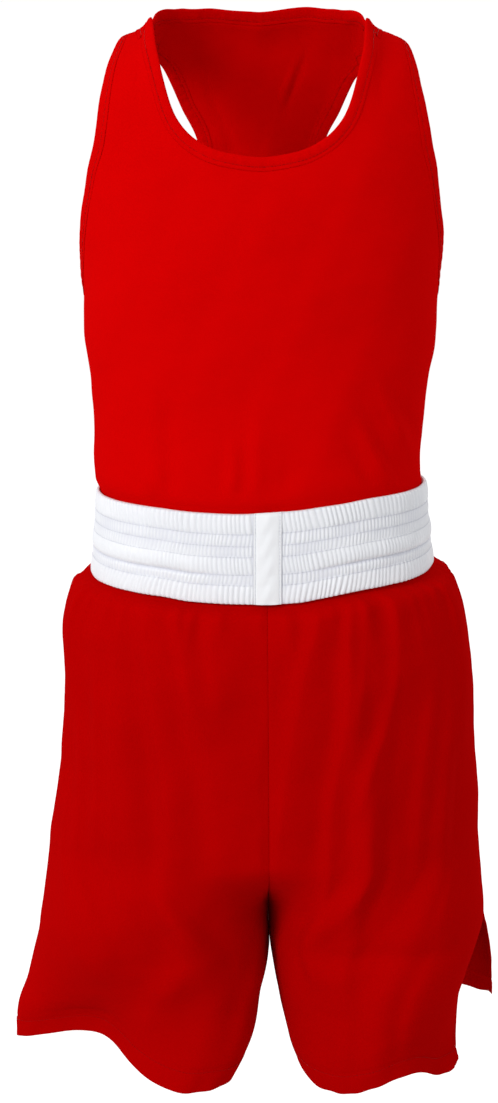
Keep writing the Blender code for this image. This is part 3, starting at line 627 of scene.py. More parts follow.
def evenly(place, start, end, step):
    """Values from start to end at which a path's places lie about a step apart."""
    fine = np.linspace(start, end, 4001)
    length = np.concatenate([[0], np.cumsum(np.linalg.norm(np.diff(place(fine), axis=0), axis=1))])
    return np.interp(np.linspace(0, length[-1], round(length[-1] / step) + 1), length, fine)


def hoop(name, sections, finish, flat, raised=None):
    """A closed tube through closed sections, the first index going round. raised is kept for its finish, which paints
    shade from it.
    """
    work = bmesh.new()
    around, corners = sections.shape[:2]
    height = work.verts.layers.float.new("raised")
    cells = uncut(work, around, corners, flat)
    for point, (column, row) in cells.items():
        point.co = sections[column % around, row % corners]
        point[height] = 1.0 if raised is None else raised[column % around, row % corners]
    bmesh.ops.remove_doubles(work, verts=work.verts, dist=1e-6)
    bmesh.ops.recalc_face_normals(work, faces=work.faces)
    return finished(name, work, finish)


def flat_shape(sections):
    """Where a hoop's points lie when it is cut open and rolled flat: round it, then round its section."""
    closed = np.concatenate([sections, sections[:1]])
    closed = np.concatenate([closed, closed[:, :1]], 1)
    round_it = np.linalg.norm(np.diff(closed[:, :1], axis=0), axis=-1)
    over_it = np.linalg.norm(np.diff(closed[:1], axis=1), axis=-1)[0]
    along = np.concatenate([[0], np.cumsum(round_it[:, 0])])
    across = np.concatenate([[0], np.cumsum(over_it)])
    return np.stack(np.meshgrid(along, across, indexing="ij"), -1)


def sewn(name, finish, *rows):
    """Rows of sewing thread, which swells at each stitch and dives between two. Each is its places and outwards."""
    work = bmesh.new()
    turn = np.linspace(0, 2 * math.pi, THREAD_SIDES + 1)[:-1]
    for places, outward in rows:
        length = np.concatenate([[0], np.cumsum(np.linalg.norm(np.diff(places, axis=0), axis=1))])
        pitch = length[-1] / max(round(length[-1] / (STITCH + STITCH_GAP)), 1)
        stops = np.array(STITCH_PLACES) * pitch
        at = (np.arange(round(length[-1] / pitch))[:, None] * pitch + stops).ravel()
        thick = np.tile(STITCH_THICK, len(at) // len(STITCH_THICK)) * THREAD_RADIUS
        line = np.stack([np.interp(at, length, places[:, axis]) for axis in range(3)], -1)
        up = unit(np.stack([np.interp(at, length, outward[:, axis]) for axis in range(3)], -1))
        side = unit(np.cross(np.gradient(line, axis=0), up))
        up = unit(np.cross(side, np.gradient(line, axis=0)))
        middle = line + up * (thick * THREAD_LIFT - THREAD_RADIUS * THREAD_SUNK)[:, None]
        section = middle[:, None] + thick[:, None, None] * (
            np.cos(turn)[:, None] * side[:, None] + np.sin(turn)[:, None] * up[:, None])
        made = bmesh.ops.create_grid(work, x_segments=len(at) - 1, y_segments=THREAD_SIDES, size=1)["verts"]
        for point in made:
            column = round((point.co.x + 1) / 2 * (len(at) - 1))
            row = round((point.co.y + 1) / 2 * THREAD_SIDES)
            point.co = section[column, row % THREAD_SIDES]
    bmesh.ops.remove_doubles(work, verts=work.verts, dist=2e-6)
    bmesh.ops.dissolve_degenerate(work, edges=work.edges, dist=1e-6)
    bmesh.ops.recalc_face_normals(work, faces=work.faces)
    for face in work.faces:
        face.smooth = True
    return finished(name, work, finish)


def thread(name, colour, gloss=0.45):
    """Twisted polyester sewing thread."""
    material, start = new_finish(name)
    place = start.node("TexCoord", output=3)
    twist = place.noise(900.0, 1.0)
    shade = tuple(0.7 * part for part in colour[:3]) + (1,)
    coloured(start, twist.mixed(colour, shade), gloss + twist * 0.1, twist * 0.00008, Specular_IOR_Level=0.05)
    return material


binding_jersey = knit_red("binding jersey", VEST_RED, VEST_SHADE_RED, depth=0.00007)
red_thread = thread("red thread", THREAD_RED)
part = np.concatenate([BINDING_SECTION["part"], BINDING_SECTION["part"][:0:-1]])
over = np.concatenate([BINDING_SECTION["over"], -VEST_WALL - BINDING_SECTION["over"][:0:-1]])
BINDINGS = (
    ("neckband", neckline, -2, 2, NECKBAND_WIDTH, 1, (0.012, 0.93)),
    ("armband_left", armhole(1), 0, 2, ARMBAND_WIDTH, -1, (0.0125, 0.80)),
    ("armband_right", armhole(-1), 0, 2, ARMBAND_WIDTH, 1, (0.0125, 0.80)),
)
for name, path, start, end, width, hand, flat_size in BINDINGS:
    at = evenly(lambda at: torso(*path(at)), start, end, BINDING_STEP)[:-1]
    length = np.arange(len(at))[:, None] * BINDING_STEP
    sway = np.sin(length * 2 * math.pi / PUCKER_LENGTH + waves(length, PUCKER_WANDER))
    slow = BINDING_SWAY * waves(length, SLOW_SWAY)
    quarter, girth = moved_in(path, at[:, None], part * width + slow, hand)
    points, outward = on_vest(quarter, girth)
    puckered = BINDING_PUCKER * sway * np.sin(np.clip(part, 0, 1) * math.pi) + slow
    sections = points + outward * (over + puckered)[..., None]
    binding = hoop(f"{name}_cloth", sections, binding_jersey, flat_shape(sections))
    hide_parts(name)
    row = moved_in(path, np.append(at, end), width - THREAD_FROM_LIP, hand)
    places, outward = on_vest(*row)
    inside = (places - outward * (VEST_WALL + THREAD_OVER), -outward)
    stitching = sewn(f"{name}_stitching", red_thread, (places + outward * THREAD_OVER, outward), inside)

# Waistband: white satin gathered over elastic and sewn through in five rows, so that it stands in six ribbed channels.
# A flat upright strip of the same satin covers its joint at the front.

BAND_WALL = 0.0026  # in a valley between two gathers
BAND_ROUND, BAND_COLUMNS = 0.82, 1350  # its length round the hoop, in so many columns
GATHER_RISE = 0.0015
JOINT_X, JOINT_WIDTH, JOINT_WALL = 0.0060, 0.0235, 0.0010
JOINT_FLAT = 0.0025  # beside the strip, where the gathers start
# Each channel: its two ends down the band, the spacing of its ribs, their strength and slant, and how far it puffs.
CHANNELS = columns(
    "top foot pitch rib slant puff",
    (0.000, 0.211, 0.0046, 1.00, -0.12, 0.0006),
    (0.211, 0.344, 0.0036, 0.65, 0.10, 0.0002),
    (0.344, 0.467, 0.0034, 0.60, 0.10, 0.0002),
    (0.467, 0.667, 0.0038, 0.75, -0.10, 0.0004),
    (0.667, 0.789, 0.0035, 0.65, 0.12, 0.0002),
    (0.789, 1.000, 0.0044, 1.00, 0.14, 0.0006),
)
# How the ribs of a channel wander, lean and differ, as waves whose phases move on from channel to channel.
RIB_WANDER = ((1.5, 118, 1.9), (1.0, 231, 4.1), (0.8, 67, 1.0))
RIB_LEAN = ((0.8, 31, 2.4),)
RIB_STRENGTH, RIB_DIFFERENCE = 0.78, ((0.22, 83, 2.7), (0.14, 191, 1.3))
RIB_ROUND, BELLY_ROUND, PUFF_ROUND = 0.85, 0.55, 0.6  # the smaller, the squarer
# The band buckles under its fourth row at both sides: quarter from, quarter to, depth and bulge over it, and for
# the bulge and the buckle their place down the band and half width.
BUCKLE_FROM, BUCKLE_FULL, BUCKLE_DEPTH, BUCKLE_BULGE = 0.14, 0.34, 0.0015, 0.0017
BULGE_AT, BULGE_WIDTH, BUCKLE_AT, BUCKLE_WIDTH = 0.57, 0.10, 0.672, 0.022
FOOT_FROM, FOOT_OUT = 0.86, 0.0006  # the low edge turns out there
CHANNEL_ROWS, INNER_ROWS = (12, 7, 7, 11, 7, 12), (0.66, 0.33, 0.0)  # of cells down the band, outside and inside
RIM_ROLL = np.array([0.25, 0.62, 0.90])  # how far out the rims are as they roll over to the plain inner wall
TOP_ROLL, LOW_ROLL, ROLL_FROM = 0.014, 0.012, 0.002
BAND_THREAD_OVER, STRIP_THREAD_OVER = 0.00012, 0.0001
# The joint strip, as parts of the band's height and of its own width: where it ends, swells, and is pressed down.
STRIP_ENDS, STRIP_CELLS = (-0.022, 1.006), (33, 72)
STRIP_SWELL, STRIP_RIPPLE, STRIP_CLEAR = 0.0011, 0.00025, 0.0003
STRIP_SWELL_LEFT, STRIP_SWELL_RIGHT = (0.55, 0.04), (-0.6, 0.0)
STRIP_PRESS, STRIP_PRESS_AT, STRIP_PRESS_WIDTH = 0.00045, 0.43, 0.035
STRIP_OVER_TOP = 0.0016
STRIP_THREAD_COLUMNS = (2, 30)
# The third satin colour is painted shade for the hollows between the waistband's gathers, not a tint of the satin.
SATIN_WHITE, SATIN_SHADE, SATIN_PAINTED_HOLLOW_SHADE = (0.84, 0.85, 0.87, 1), (0.76, 0.775, 0.82, 1), (0.68, 0.69, 0.76, 1)
THREAD_WHITE = (0.74, 0.76, 0.82, 1)


def band_points(quarter, level, out=0.0):
    """Points a distance outside the waistband's inner wall."""
    x, y = ring(quarter, *band_inside(level, -out))
    return np.stack([x, y, lean(level, x, y)], axis=-1)


def off_band(quarter, level, out):
    """The same points, and the outward direction there."""
    points = band_points(quarter, level, out)
    return points, unit(points - band_points(quarter, level, out - 0.01))


def band_rise(length, quarter, x, down):
    """How far the band stands out over its valleys, by the length round it and the part down it."""
    beside = np.abs(x - JOINT_X) - JOINT_WIDTH / 2
    gathered = np.where(np.abs(quarter) < 1, ramp(-0.0005, JOINT_FLAT, beside), 1)
    rise = 0 * length * down
    last = len(CHANNELS["top"]) - 1
    for i, channel in enumerate(rows_of(CHANNELS)):
        within = (down - channel["top"]) / (channel["foot"] - channel["top"])
        inside = (within >= 0) & (within <= 1) if i else within <= 1
        inside = inside | ((within > 1) & (i == last))
        within = np.clip(within, 0, 1)
        height = (channel["foot"] - channel["top"]) * (BAND_TOP - BAND_LOW)
        shifted = length + channel["slant"] * height * (within - 0.5) * (1 + waves(length, RIB_LEAN, i))
        phase = 2 * math.pi * shifted / channel["pitch"] + waves(length, RIB_WANDER, i)
        strength = RIB_STRENGTH + waves(length, RIB_DIFFERENCE, i)
        strength = strength * (0.88 + 0.12 * np.sin(quarter * math.pi / 2 + 0.3))  # a little weaker on one side
        rib = np.abs(np.sin(phase / 2)) ** RIB_ROUND * strength * channel["rib"] * GATHER_RISE
        open_end = (i == 0) & (within < 0.5) | (i == last) & (within > 0.5)
        belly = np.where(open_end, 1, np.sin(within * math.pi)) ** BELLY_ROUND
        puff = channel["puff"] * np.sin(within * math.pi) ** PUFF_ROUND
        rise = np.where(inside, puff * (0.6 + 0.4 * gathered) + rib * gathered * (0.62 + 0.38 * belly), rise)
    buckle = ramp(BUCKLE_FROM, BUCKLE_FULL, np.abs(quarter - 0.02)) * (0.75 + 0.25 * np.cos(quarter * math.pi))
    fold = BUCKLE_BULGE * np.exp(-((down - BULGE_AT) / BULGE_WIDTH) ** 2)
    fold = fold - BUCKLE_DEPTH * np.exp(-((down - BUCKLE_AT) / BUCKLE_WIDTH) ** 2)
    return rise + buckle * fold + FOOT_OUT * ramp(FOOT_FROM, 1.0, down) * buckle


def satin(name, light, shade, painted_hollow_shade, strands=0.0005):
    """White polyester satin: long floats that catch the light, faint strands, and painted cool grey shade in the
    hollows between its gathers.
    """
    material, start = new_finish(name)
    u, v = start.cloth_uv()
    floats = (u * (2 * math.pi / strands) + (v * (2 * math.pi / strands / 3)).wave() * 1.4).wave()
    place = start.node("TexCoord", output=3)
    slub, tone = place.noise(260.0, 3.0, 0.6), place.noise(26.0, 3.0, 0.55)
    colour = (tone * 0.65 + slub * 0.2 + floats * 0.04).mixed(light, shade)
    depth = start.node("Attribute", {"attribute_name": "raised"}, output=2)
    # Painted shade: where the band is little raised over the valleys between its gathers, its colour turns to the cool
    # grey of the hollows.
    colour = start.node("MapRange", (), {"Value": depth, "From Max": 0.55}).mixed(painted_hollow_shade, colour)
    coloured(start, colour, 0.32 + tone * 0.10 + slub * 0.08, floats * 0.00002 + slub * 0.00005,
             Specular_IOR_Level=0.45, Sheen_Weight=0.12, Sheen_Roughness=0.4)
    return material


white_satin = satin("white satin", SATIN_WHITE, SATIN_SHADE, SATIN_PAINTED_HOLLOW_SHADE)
strip_satin = satin("strip satin", SATIN_WHITE, SATIN_SHADE, SATIN_WHITE)
white_thread = thread("white thread", THREAD_WHITE, 0.4)
BAND_MIDDLE = (BAND_TOP + BAND_LOW) / 2
quarter = evenly(lambda at: band_points(at, BAND_MIDDLE), -2, 2, BAND_ROUND / BAND_COLUMNS)[:-1, None]
length = np.arange(len(quarter))[:, None] * BAND_ROUND / BAND_COLUMNS
x = band_points(quarter[:, 0], BAND_MIDDLE)[:, :1]
down = [np.linspace(*ends, endpoint=False) for ends in zip(CHANNELS["top"], CHANNELS["foot"], CHANNEL_ROWS)]
down = np.append(np.concatenate(down), 1.0)
out = BAND_WALL + band_rise(length, quarter, x, down)
# Inner wall, top rim, outside, low rim and inner wall again.
top_down = -TOP_ROLL * np.sin(np.arccos(RIM_ROLL)) - ROLL_FROM
low_down = 1 + LOW_ROLL * np.sin(np.arccos(RIM_ROLL[::-1])) + ROLL_FROM
down = np.concatenate([INNER_ROWS, top_down, down, low_down, [1.0]])
# raised, 0 in the valleys between gathers and 1 on their crests, sets how much painted shade the satin gets: most in
# the valleys, none towards the crests.
raised = np.clip((out - BAND_WALL) / GATHER_RISE, 0, 1)
plain = np.ones_like(out)
raised = np.concatenate(
    [plain[:, :3], *[raised[:, :1]] * 3, raised, *[raised[:, -1:]] * 3, plain[:, :1]], 1)
out = np.concatenate(
    [0 * out[:, :3], out[:, :1] * RIM_ROLL, out, out[:, -1:] * RIM_ROLL[::-1], 0 * out[:, :1]], 1)
sections = band_points(quarter, BAND_TOP + down * (BAND_LOW - BAND_TOP), out)
band = hoop("waistband_cloth", sections, white_satin, flat_shape(sections), raised)
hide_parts("waistband")

rows = []
for place in CHANNELS["foot"][:-1]:
    out = BAND_WALL + band_rise(length, quarter, x, np.array([[place]])) + BAND_THREAD_OVER
    level = BAND_TOP + place * (BAND_LOW - BAND_TOP)
    points, outward = off_band(quarter, level, out)
    first = int(np.argmin(np.abs(x[:, 0] - JOINT_X) + (np.abs(quarter[:, 0]) > 1)))  # under the joint strip
    rows.append((np.roll(points[:, 0], -first, axis=0), np.roll(outward[:, 0], -first, axis=0)))
band_stitching = sewn("waistband_stitching", white_thread, *rows)

across, down = np.meshgrid(np.linspace(-0.5, 0.5, STRIP_CELLS[0]), np.linspace(*STRIP_ENDS, STRIP_CELLS[1]),
                           indexing="ij")
strip_x = JOINT_X + across * JOINT_WIDTH
left, right = (curve(BAND_INSIDE["level"], BAND_INSIDE[side], BAND_TOP + np.clip(down, 0, 1) * (BAND_LOW - BAND_TOP))
               for side in ("left", "right"))
strip_quarter = quarter_at(strip_x, left, right)
under = BAND_WALL + band_rise(0 * down, strip_quarter, 0 * down + JOINT_X, np.clip(down, 0, 1))
soft = STRIP_SWELL * ramp(*STRIP_SWELL_LEFT, across) * ramp(*STRIP_SWELL_RIGHT, across)
soft = soft + STRIP_RIPPLE * np.sin(down * 23 + 2.5 * np.sin(across * 5)) * (1 - (2 * across) ** 2)
pressed = STRIP_PRESS * np.exp(-((np.abs(across) - STRIP_PRESS_AT) / STRIP_PRESS_WIDTH) ** 2)
over_top = STRIP_OVER_TOP * ramp(0.0, STRIP_ENDS[0], down)
out = under + SEAM + JOINT_WALL + STRIP_CLEAR + soft - pressed - over_top
strip_level = BAND_TOP + down * (BAND_LOW - BAND_TOP)
points, outward = off_band(strip_quarter, strip_level, out)
strip = cloth_panel("waistband_joint_cloth", points, outward,
                    np.stack([across * JOINT_WIDTH, strip_level], -1), strip_satin, JOINT_WALL)
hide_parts("waistband_joint")
strip_rows = [(points[i] + outward[i] * STRIP_THREAD_OVER, outward[i]) for i in STRIP_THREAD_COLUMNS]
strip_stitching = sewn("waistband_joint_stitching", white_thread, *strip_rows)

# Shorts: four panels of closely woven red polyester, front and back of each leg, gathered in under the waistband.
# Side, centre and inside-leg seams join them, with a slit up the left side and a turned hem sewn down all round.

SHORTS_WALL = 0.0014
SHORTS_TOP = -0.4855  # upper edge, sewn inside the waistband
SHORTS_FROM = -0.504  # under the waistband's low edge, where the cloth is free to swell
SHORTS_FLARE = 0.008  # height in which it does
SHORTS_LOW, SLIT_TOP, CROTCH = -0.978, -0.835, -0.855
LEG_FROM = -0.750  # below this the rings turn into two legs, complete at the crotch
CROTCH_Y = 0.010
INSEAM_FROM, INSEAM_TO = 0.4, 0.9
LEG_FILL = 0.10
FOLDS_FROM, FOLDS_FREE = SHORTS_FROM + 0.001, -0.518  # the panels are held flat above and free to fold below
SIDE_HELD, CENTRE_HELD = 0.035, 0.97  # and flat again beside their seams, as parts of a panel's width
SHORTS_CRUMPLE = 0.9  # of the vest's
SLIT_OPENS = 0.004  # over and under its top
CREASE_REACH = 0.030  # a crease fades over this much of the height on both sides of its ends
SLIT_CORNER_FROM = -0.960
PANEL_WIDTH = 0.262  # along the cloth, from side seam to centre seam
SHORTS_COLUMNS = 140
HEM, HEM_THREAD = 0.0205, 0.0190
SLIT_HEM = 0.0085
# Grooves along the sewing, each its half width and depth, and how much thicker the turned hems are.
HEM_GROOVE, SLIT_GROOVE, SIDE_GROOVE, CENTRE_GROOVE = (
    (0.0022, 0.0006), (0.0018, 0.0005), (0.0030, 0.0009), (0.0026, 0.0005))
HEM_THICKER, SLIT_THICKER, HEM_RIPPLE = 0.00045, 0.0004, 0.0006
SHORTS_THREAD_OVER, HEM_THREAD_ENDS, SLIT_THREAD_FROM = 0.0001, (0.004, 0.996), 0.002
HEM_THREAD_PLACES, SLIT_THREAD_PLACES = 500, 300
HELD_ROWS_LOW, HEM_ROWS_TOP = -0.514, -0.948  # the rows of cells lie closer above the one and below the other
SHORTS_RED, SHORTS_SHADE_RED = (0.440, 0.0003, 0.0005, 1), (0.390, 0.0002, 0.0003, 1)
SHORTS = columns(
    "level left right front back",
    (-0.5120, -0.1740, 0.1800, 0.1140, 0.0990),
    (-0.5320, -0.1810, 0.1890, 0.1180, 0.1050),
    (-0.5510, -0.1850, 0.1950, 0.1200, 0.1100),
    (-0.5900, -0.1860, 0.2020, 0.1220, 0.1160),
    (-0.6300, -0.1870, 0.2040, 0.1220, 0.1190),
    (-0.6700, -0.1900, 0.2070, 0.1210, 0.1190),
    (-0.7100, -0.1950, 0.2100, 0.1200, 0.1170),
    (-0.7510, -0.2010, 0.2130, 0.1180, 0.1130),
    (-0.7920, -0.2070, 0.2160, 0.1160, 0.1090),
    (SLIT_TOP, -0.2135, 0.2200, 0.1140, 0.1060),
    (CROTCH, -0.2160, 0.2215, 0.1130, 0.1050),
)
SPLIT_X = columns("level x", (BAND_LOW, 0.0060), (CROTCH, 0.0090))  # the centre seam
# The legs press flat against each other under the crotch, and stand out most towards the inseam at the hem.
HANG = columns(
    "level inseam_square front_skew back_skew",
    (LEG_FROM, 0.50, 1.00, 1.00),
    (CROTCH, 0.50, 1.05, 1.02),
    (SHORTS_LOW, 0.40, 1.38, 1.08),
)
# Legs: where the front and back panels' side edges hang, the inseam and how far each panel stands out.
LEG = {
    1: columns(
        "level front_x front_y back_x back_y inner_x front back",
        (LEG_FROM, 0.2120, 0.000, 0.2120, 0.000, 0.0083, 0.118, 0.113),
        (-0.7900, 0.2160, 0.000, 0.2160, 0.000, 0.0087, 0.115, 0.109),
        (SLIT_TOP, 0.2200, 0.000, 0.2200, 0.000, 0.0089, 0.113, 0.105),
        (CROTCH, 0.2120, -0.014, 0.2250, 0.012, 0.0090, 0.111, 0.101),
        (-0.8800, 0.1985, -0.034, 0.2320, 0.033, 0.0108, 0.103, 0.091),
        (-0.9120, 0.1905, -0.047, 0.2385, 0.045, 0.0172, 0.096, 0.084),
        (-0.9450, 0.1920, -0.056, 0.2420, 0.060, 0.0227, 0.091, 0.078),
        (SHORTS_LOW, 0.1945, -0.062, 0.2450, 0.072, 0.0345, 0.086, 0.070),
    ),
    -1: columns(
        "level front_x front_y back_x back_y inner_x front back",
        (LEG_FROM, -0.1990, 0.000, -0.1990, 0.000, 0.0083, 0.118, 0.113),
        (-0.7900, -0.2070, 0.000, -0.2070, 0.000, 0.0087, 0.115, 0.109),
        (SLIT_TOP, -0.2135, 0.000, -0.2135, 0.000, 0.0089, 0.113, 0.105),
        (CROTCH, -0.2160, 0.000, -0.2160, 0.0005, 0.0090, 0.111, 0.104),
        (-0.8800, -0.2220, 0.000, -0.2220, 0.001, 0.0104, 0.109, 0.102),
        (-0.9120, -0.2300, -0.001, -0.2300, 0.002, 0.0020, 0.108, 0.100),
        (-0.9450, -0.2395, -0.002, -0.2395, 0.004, -0.0052, 0.109, 0.098),
        (SHORTS_LOW, -0.2420, -0.003, -0.2420, 0.006, -0.0205, 0.111, 0.097),
    ),
}
# Broad swells of a panel, by side (1 left, -1 right) and face (-1 front, 1 back), leaning across on their way down.
SHORTS_SWELLS = columns(
    "side face top foot across foot_across half_width rise",
    (-1, -1, -0.530, -0.960, 0.50, 0.72, 0.085, 0.0045),
    (-1, -1, -0.560, -0.760, 0.16, 0.20, 0.060, 0.0030),
    (-1, -1, -0.600, -0.870, 0.30, 0.40, 0.060, 0.0030),
    (1, -1, -0.520, -0.900, 0.78, 0.66, 0.070, 0.0040),
    (1, -1, -0.520, -0.920, 0.62, 0.80, 0.075, 0.0045),
    (1, -1, -0.560, -0.860, 0.32, 0.52, 0.075, 0.0040),
    (1, -1, -0.740, -0.990, 0.40, 0.52, 0.080, 0.0050),
    (-1, 1, -0.520, -0.900, 0.66, 0.58, 0.080, 0.0050),
    (-1, 1, -0.560, -0.960, 0.30, 0.40, 0.080, 0.0045),
    (1, 1, -0.520, -0.900, 0.72, 0.62, 0.080, 0.0050),
    (1, 1, -0.580, -0.970, 0.36, 0.30, 0.090, 0.0050),
)
# Waves of the hem: they deepen from their top to the hem, and lift the hem where they turn in.
HEM_WAVES = columns(
    "side face top across half_width rise lift",
    (-1, -1, -0.840, 0.38, 0.32, -0.042, 0.018),
    (-1, -1, -0.900, 0.26, 0.42, 0.000, 0.014),
    (-1, -1, -0.880, 0.82, 0.24, 0.008, 0.000),
    (-1, -1, -0.940, 1.00, 0.16, 0.000, 0.020),
    (-1, 1, -0.940, 1.00, 0.16, 0.000, 0.020),
    (1, -1, -0.880, 0.20, 0.30, -0.016, 0.000),
    (1, -1, -0.880, 0.66, 0.20, 0.004, 0.000),
    (1, -1, -0.900, 0.40, 0.25, 0.000, 0.018),
    (1, -1, -0.900, 0.78, 0.30, 0.000, -0.006),
    (1, 1, -0.900, 0.00, 0.16, 0.000, 0.008),
    (-1, 1, -0.860, 0.45, 0.22, -0.012, 0.002),
    (1, 1, -0.860, 0.55, 0.22, -0.012, 0.002),
)
SLIT_CORNER = columns("across lift", (0.0, 0.010), (0.04, 0.003), (0.09, 0.0))  # rounded, left front
# Main creases: side, face, height (less than 0 is a valley), half width towards the side seam and towards the
# centre seam, and the places (across, level) that the crest runs through.
CREASES = (
    (-1, -1, 0.0047, 0.012, 0.022, ((0.42, -0.590), (0.44, -0.676), (0.45, -0.745))),
    (-1, -1, 0.0044, 0.009, 0.018, ((0.50, -0.600), (0.515, -0.673), (0.53, -0.735), (0.52, -0.810))),
    (-1, -1, 0.0070, 0.011, 0.020, ((0.60, -0.490), (0.655, -0.586), (0.68, -0.634), (0.71, -0.677), (0.725, -0.729),
                                    (0.65, -0.808), (0.58, -0.880))),
    (-1, -1, 0.0052, 0.007, 0.016, ((0.70, -0.490), (0.77, -0.574), (0.785, -0.625))),
    (-1, -1, 0.0052, 0.010, 0.020, ((0.82, -0.490), (0.86, -0.573), (0.87, -0.610))),
    (-1, -1, 0.0052, 0.012, 0.026, ((0.69, -0.545), (0.80, -0.610), (0.84, -0.657), (0.86, -0.711), (0.88, -0.765))),
    (-1, -1, 0.0044, 0.010, 0.018, ((0.20, -0.505), (0.23, -0.560), (0.24, -0.620))),
    (-1, -1, -0.0020, 0.016, 0.012, ((0.31, -0.500), (0.33, -0.560), (0.37, -0.640))),
    (-1, -1, 0.0036, 0.014, 0.022, ((0.25, -0.700), (0.30, -0.790), (0.33, -0.870))),
    (-1, -1, 0.0044, 0.012, 0.022, ((0.58, -0.850), (0.55, -0.890), (0.54, -0.940))),
    (-1, -1, 0.0040, 0.010, 0.018, ((0.88, -0.840), (0.83, -0.890), (0.81, -0.950))),
    (1, -1, 0.0054, 0.022, 0.0085, ((0.80, -0.490), (0.885, -0.559), (0.915, -0.612), (0.945, -0.666), (0.97, -0.72))),
    (1, -1, 0.0054, 0.018, 0.0070, ((0.70, -0.490), (0.75, -0.540), (0.77, -0.603), (0.79, -0.646),
                                    (0.82, -0.697), (0.83, -0.749), (0.77, -0.811), (0.695, -0.870))),
    (1, -1, 0.0026, 0.012, 0.006, ((0.665, -0.490), (0.735, -0.610))),
    (1, -1, 0.0041, 0.016, 0.008, ((0.55, -0.490), (0.60, -0.577), (0.63, -0.615), (0.70, -0.659), (0.74, -0.701),
                                   (0.79, -0.750))),
    (1, -1, -0.0018, 0.012, 0.007, ((0.585, -0.585), (0.665, -0.650), (0.715, -0.688), (0.765, -0.719),
                                    (0.805, -0.756), (0.775, -0.800))),
    (1, -1, 0.0051, 0.009, 0.012, ((0.725, -0.730), (0.715, -0.777), (0.625, -0.827), (0.595, -0.880))),
    (1, -1, 0.0026, 0.012, 0.008, ((0.65, -0.720), (0.62, -0.785))),
    (1, -1, 0.0033, 0.018, 0.010, ((0.38, -0.770), (0.36, -0.840))),
    (1, -1, 0.0039, 0.018, 0.010, ((0.37, -0.850), (0.38, -0.925))),
    (1, -1, 0.0033, 0.020, 0.010, ((0.22, -0.505), (0.26, -0.570), (0.32, -0.660))),
    (1, -1, 0.0030, 0.018, 0.009, ((0.45, -0.600), (0.52, -0.690), (0.55, -0.760))),
    (1, -1, 0.0026, 0.016, 0.010, ((0.86, -0.830), (0.84, -0.890), (0.86, -0.950))),
    (1, -1, 0.0026, 0.016, 0.010, ((0.60, -0.900), (0.62, -0.960))),
    (-1, 1, 0.0055, 0.010, 0.016, ((0.62, -0.490), (0.66, -0.580), (0.70, -0.660), (0.66, -0.760), (0.58, -0.850))),
    (-1, 1, 0.0045, 0.016, 0.009, ((0.76, -0.490), (0.80, -0.570), (0.86, -0.650), (0.88, -0.740))),
    (-1, 1, -0.0018, 0.012, 0.012, ((0.55, -0.560), (0.60, -0.650), (0.60, -0.750))),
    (-1, 1, 0.0040, 0.018, 0.010, ((0.40, -0.490), (0.46, -0.590), (0.50, -0.700), (0.46, -0.810))),
    (-1, 1, 0.0032, 0.010, 0.016, ((0.22, -0.500), (0.28, -0.600), (0.34, -0.720))),
    (-1, 1, -0.0016, 0.012, 0.012, ((0.84, -0.760), (0.74, -0.850), (0.66, -0.940))),
    (-1, 1, 0.0037, 0.012, 0.018, ((0.30, -0.780), (0.34, -0.870), (0.32, -0.955))),
    (-1, 1, 0.0032, 0.010, 0.014, ((0.78, -0.840), (0.80, -0.950))),
    (1, 1, 0.0057, 0.016, 0.010, ((0.56, -0.490), (0.62, -0.570), (0.68, -0.660), (0.70, -0.740), (0.62, -0.840))),
    (1, 1, 0.0042, 0.009, 0.016, ((0.70, -0.490), (0.78, -0.580), (0.84, -0.680), (0.84, -0.760))),
    (1, 1, -0.0018, 0.012, 0.012, ((0.48, -0.530), (0.54, -0.630), (0.58, -0.730))),
    (1, 1, 0.0037, 0.018, 0.012, ((0.34, -0.490), (0.38, -0.590), (0.46, -0.700), (0.48, -0.800))),
    (1, 1, 0.0030, 0.010, 0.014, ((0.16, -0.500), (0.20, -0.610), (0.26, -0.720))),
    (1, 1, -0.0016, 0.012, 0.012, ((0.76, -0.780), (0.66, -0.870), (0.62, -0.950))),
    (1, 1, 0.0037, 0.018, 0.012, ((0.40, -0.820), (0.36, -0.900), (0.38, -0.960))),
    (1, 1, 0.0030, 0.010, 0.016, ((0.84, -0.850), (0.82, -0.950))),
)
# Uneven gathers under the waistband of each panel: how many, and how high, long and wide they are at most.
GATHERS, GATHER_HEIGHT, GATHER_LENGTH, GATHER_HALF = 11, 0.0038, 0.085, 0.0075
GATHER_STRAY = 0.35  # from even spacing
GATHER_LEAST, GATHER_MOST = (0.35, 0.25, 0.55, -0.25), (1, 1, 1, 0.35)  # parts of the same, and the slant


def crest(at, place, half_width):
    """A single soft wave: 1 at its place, 0 from half_width away."""
    return np.cos(np.clip((at - place) / half_width, -1, 1) * math.pi / 2) ** 2


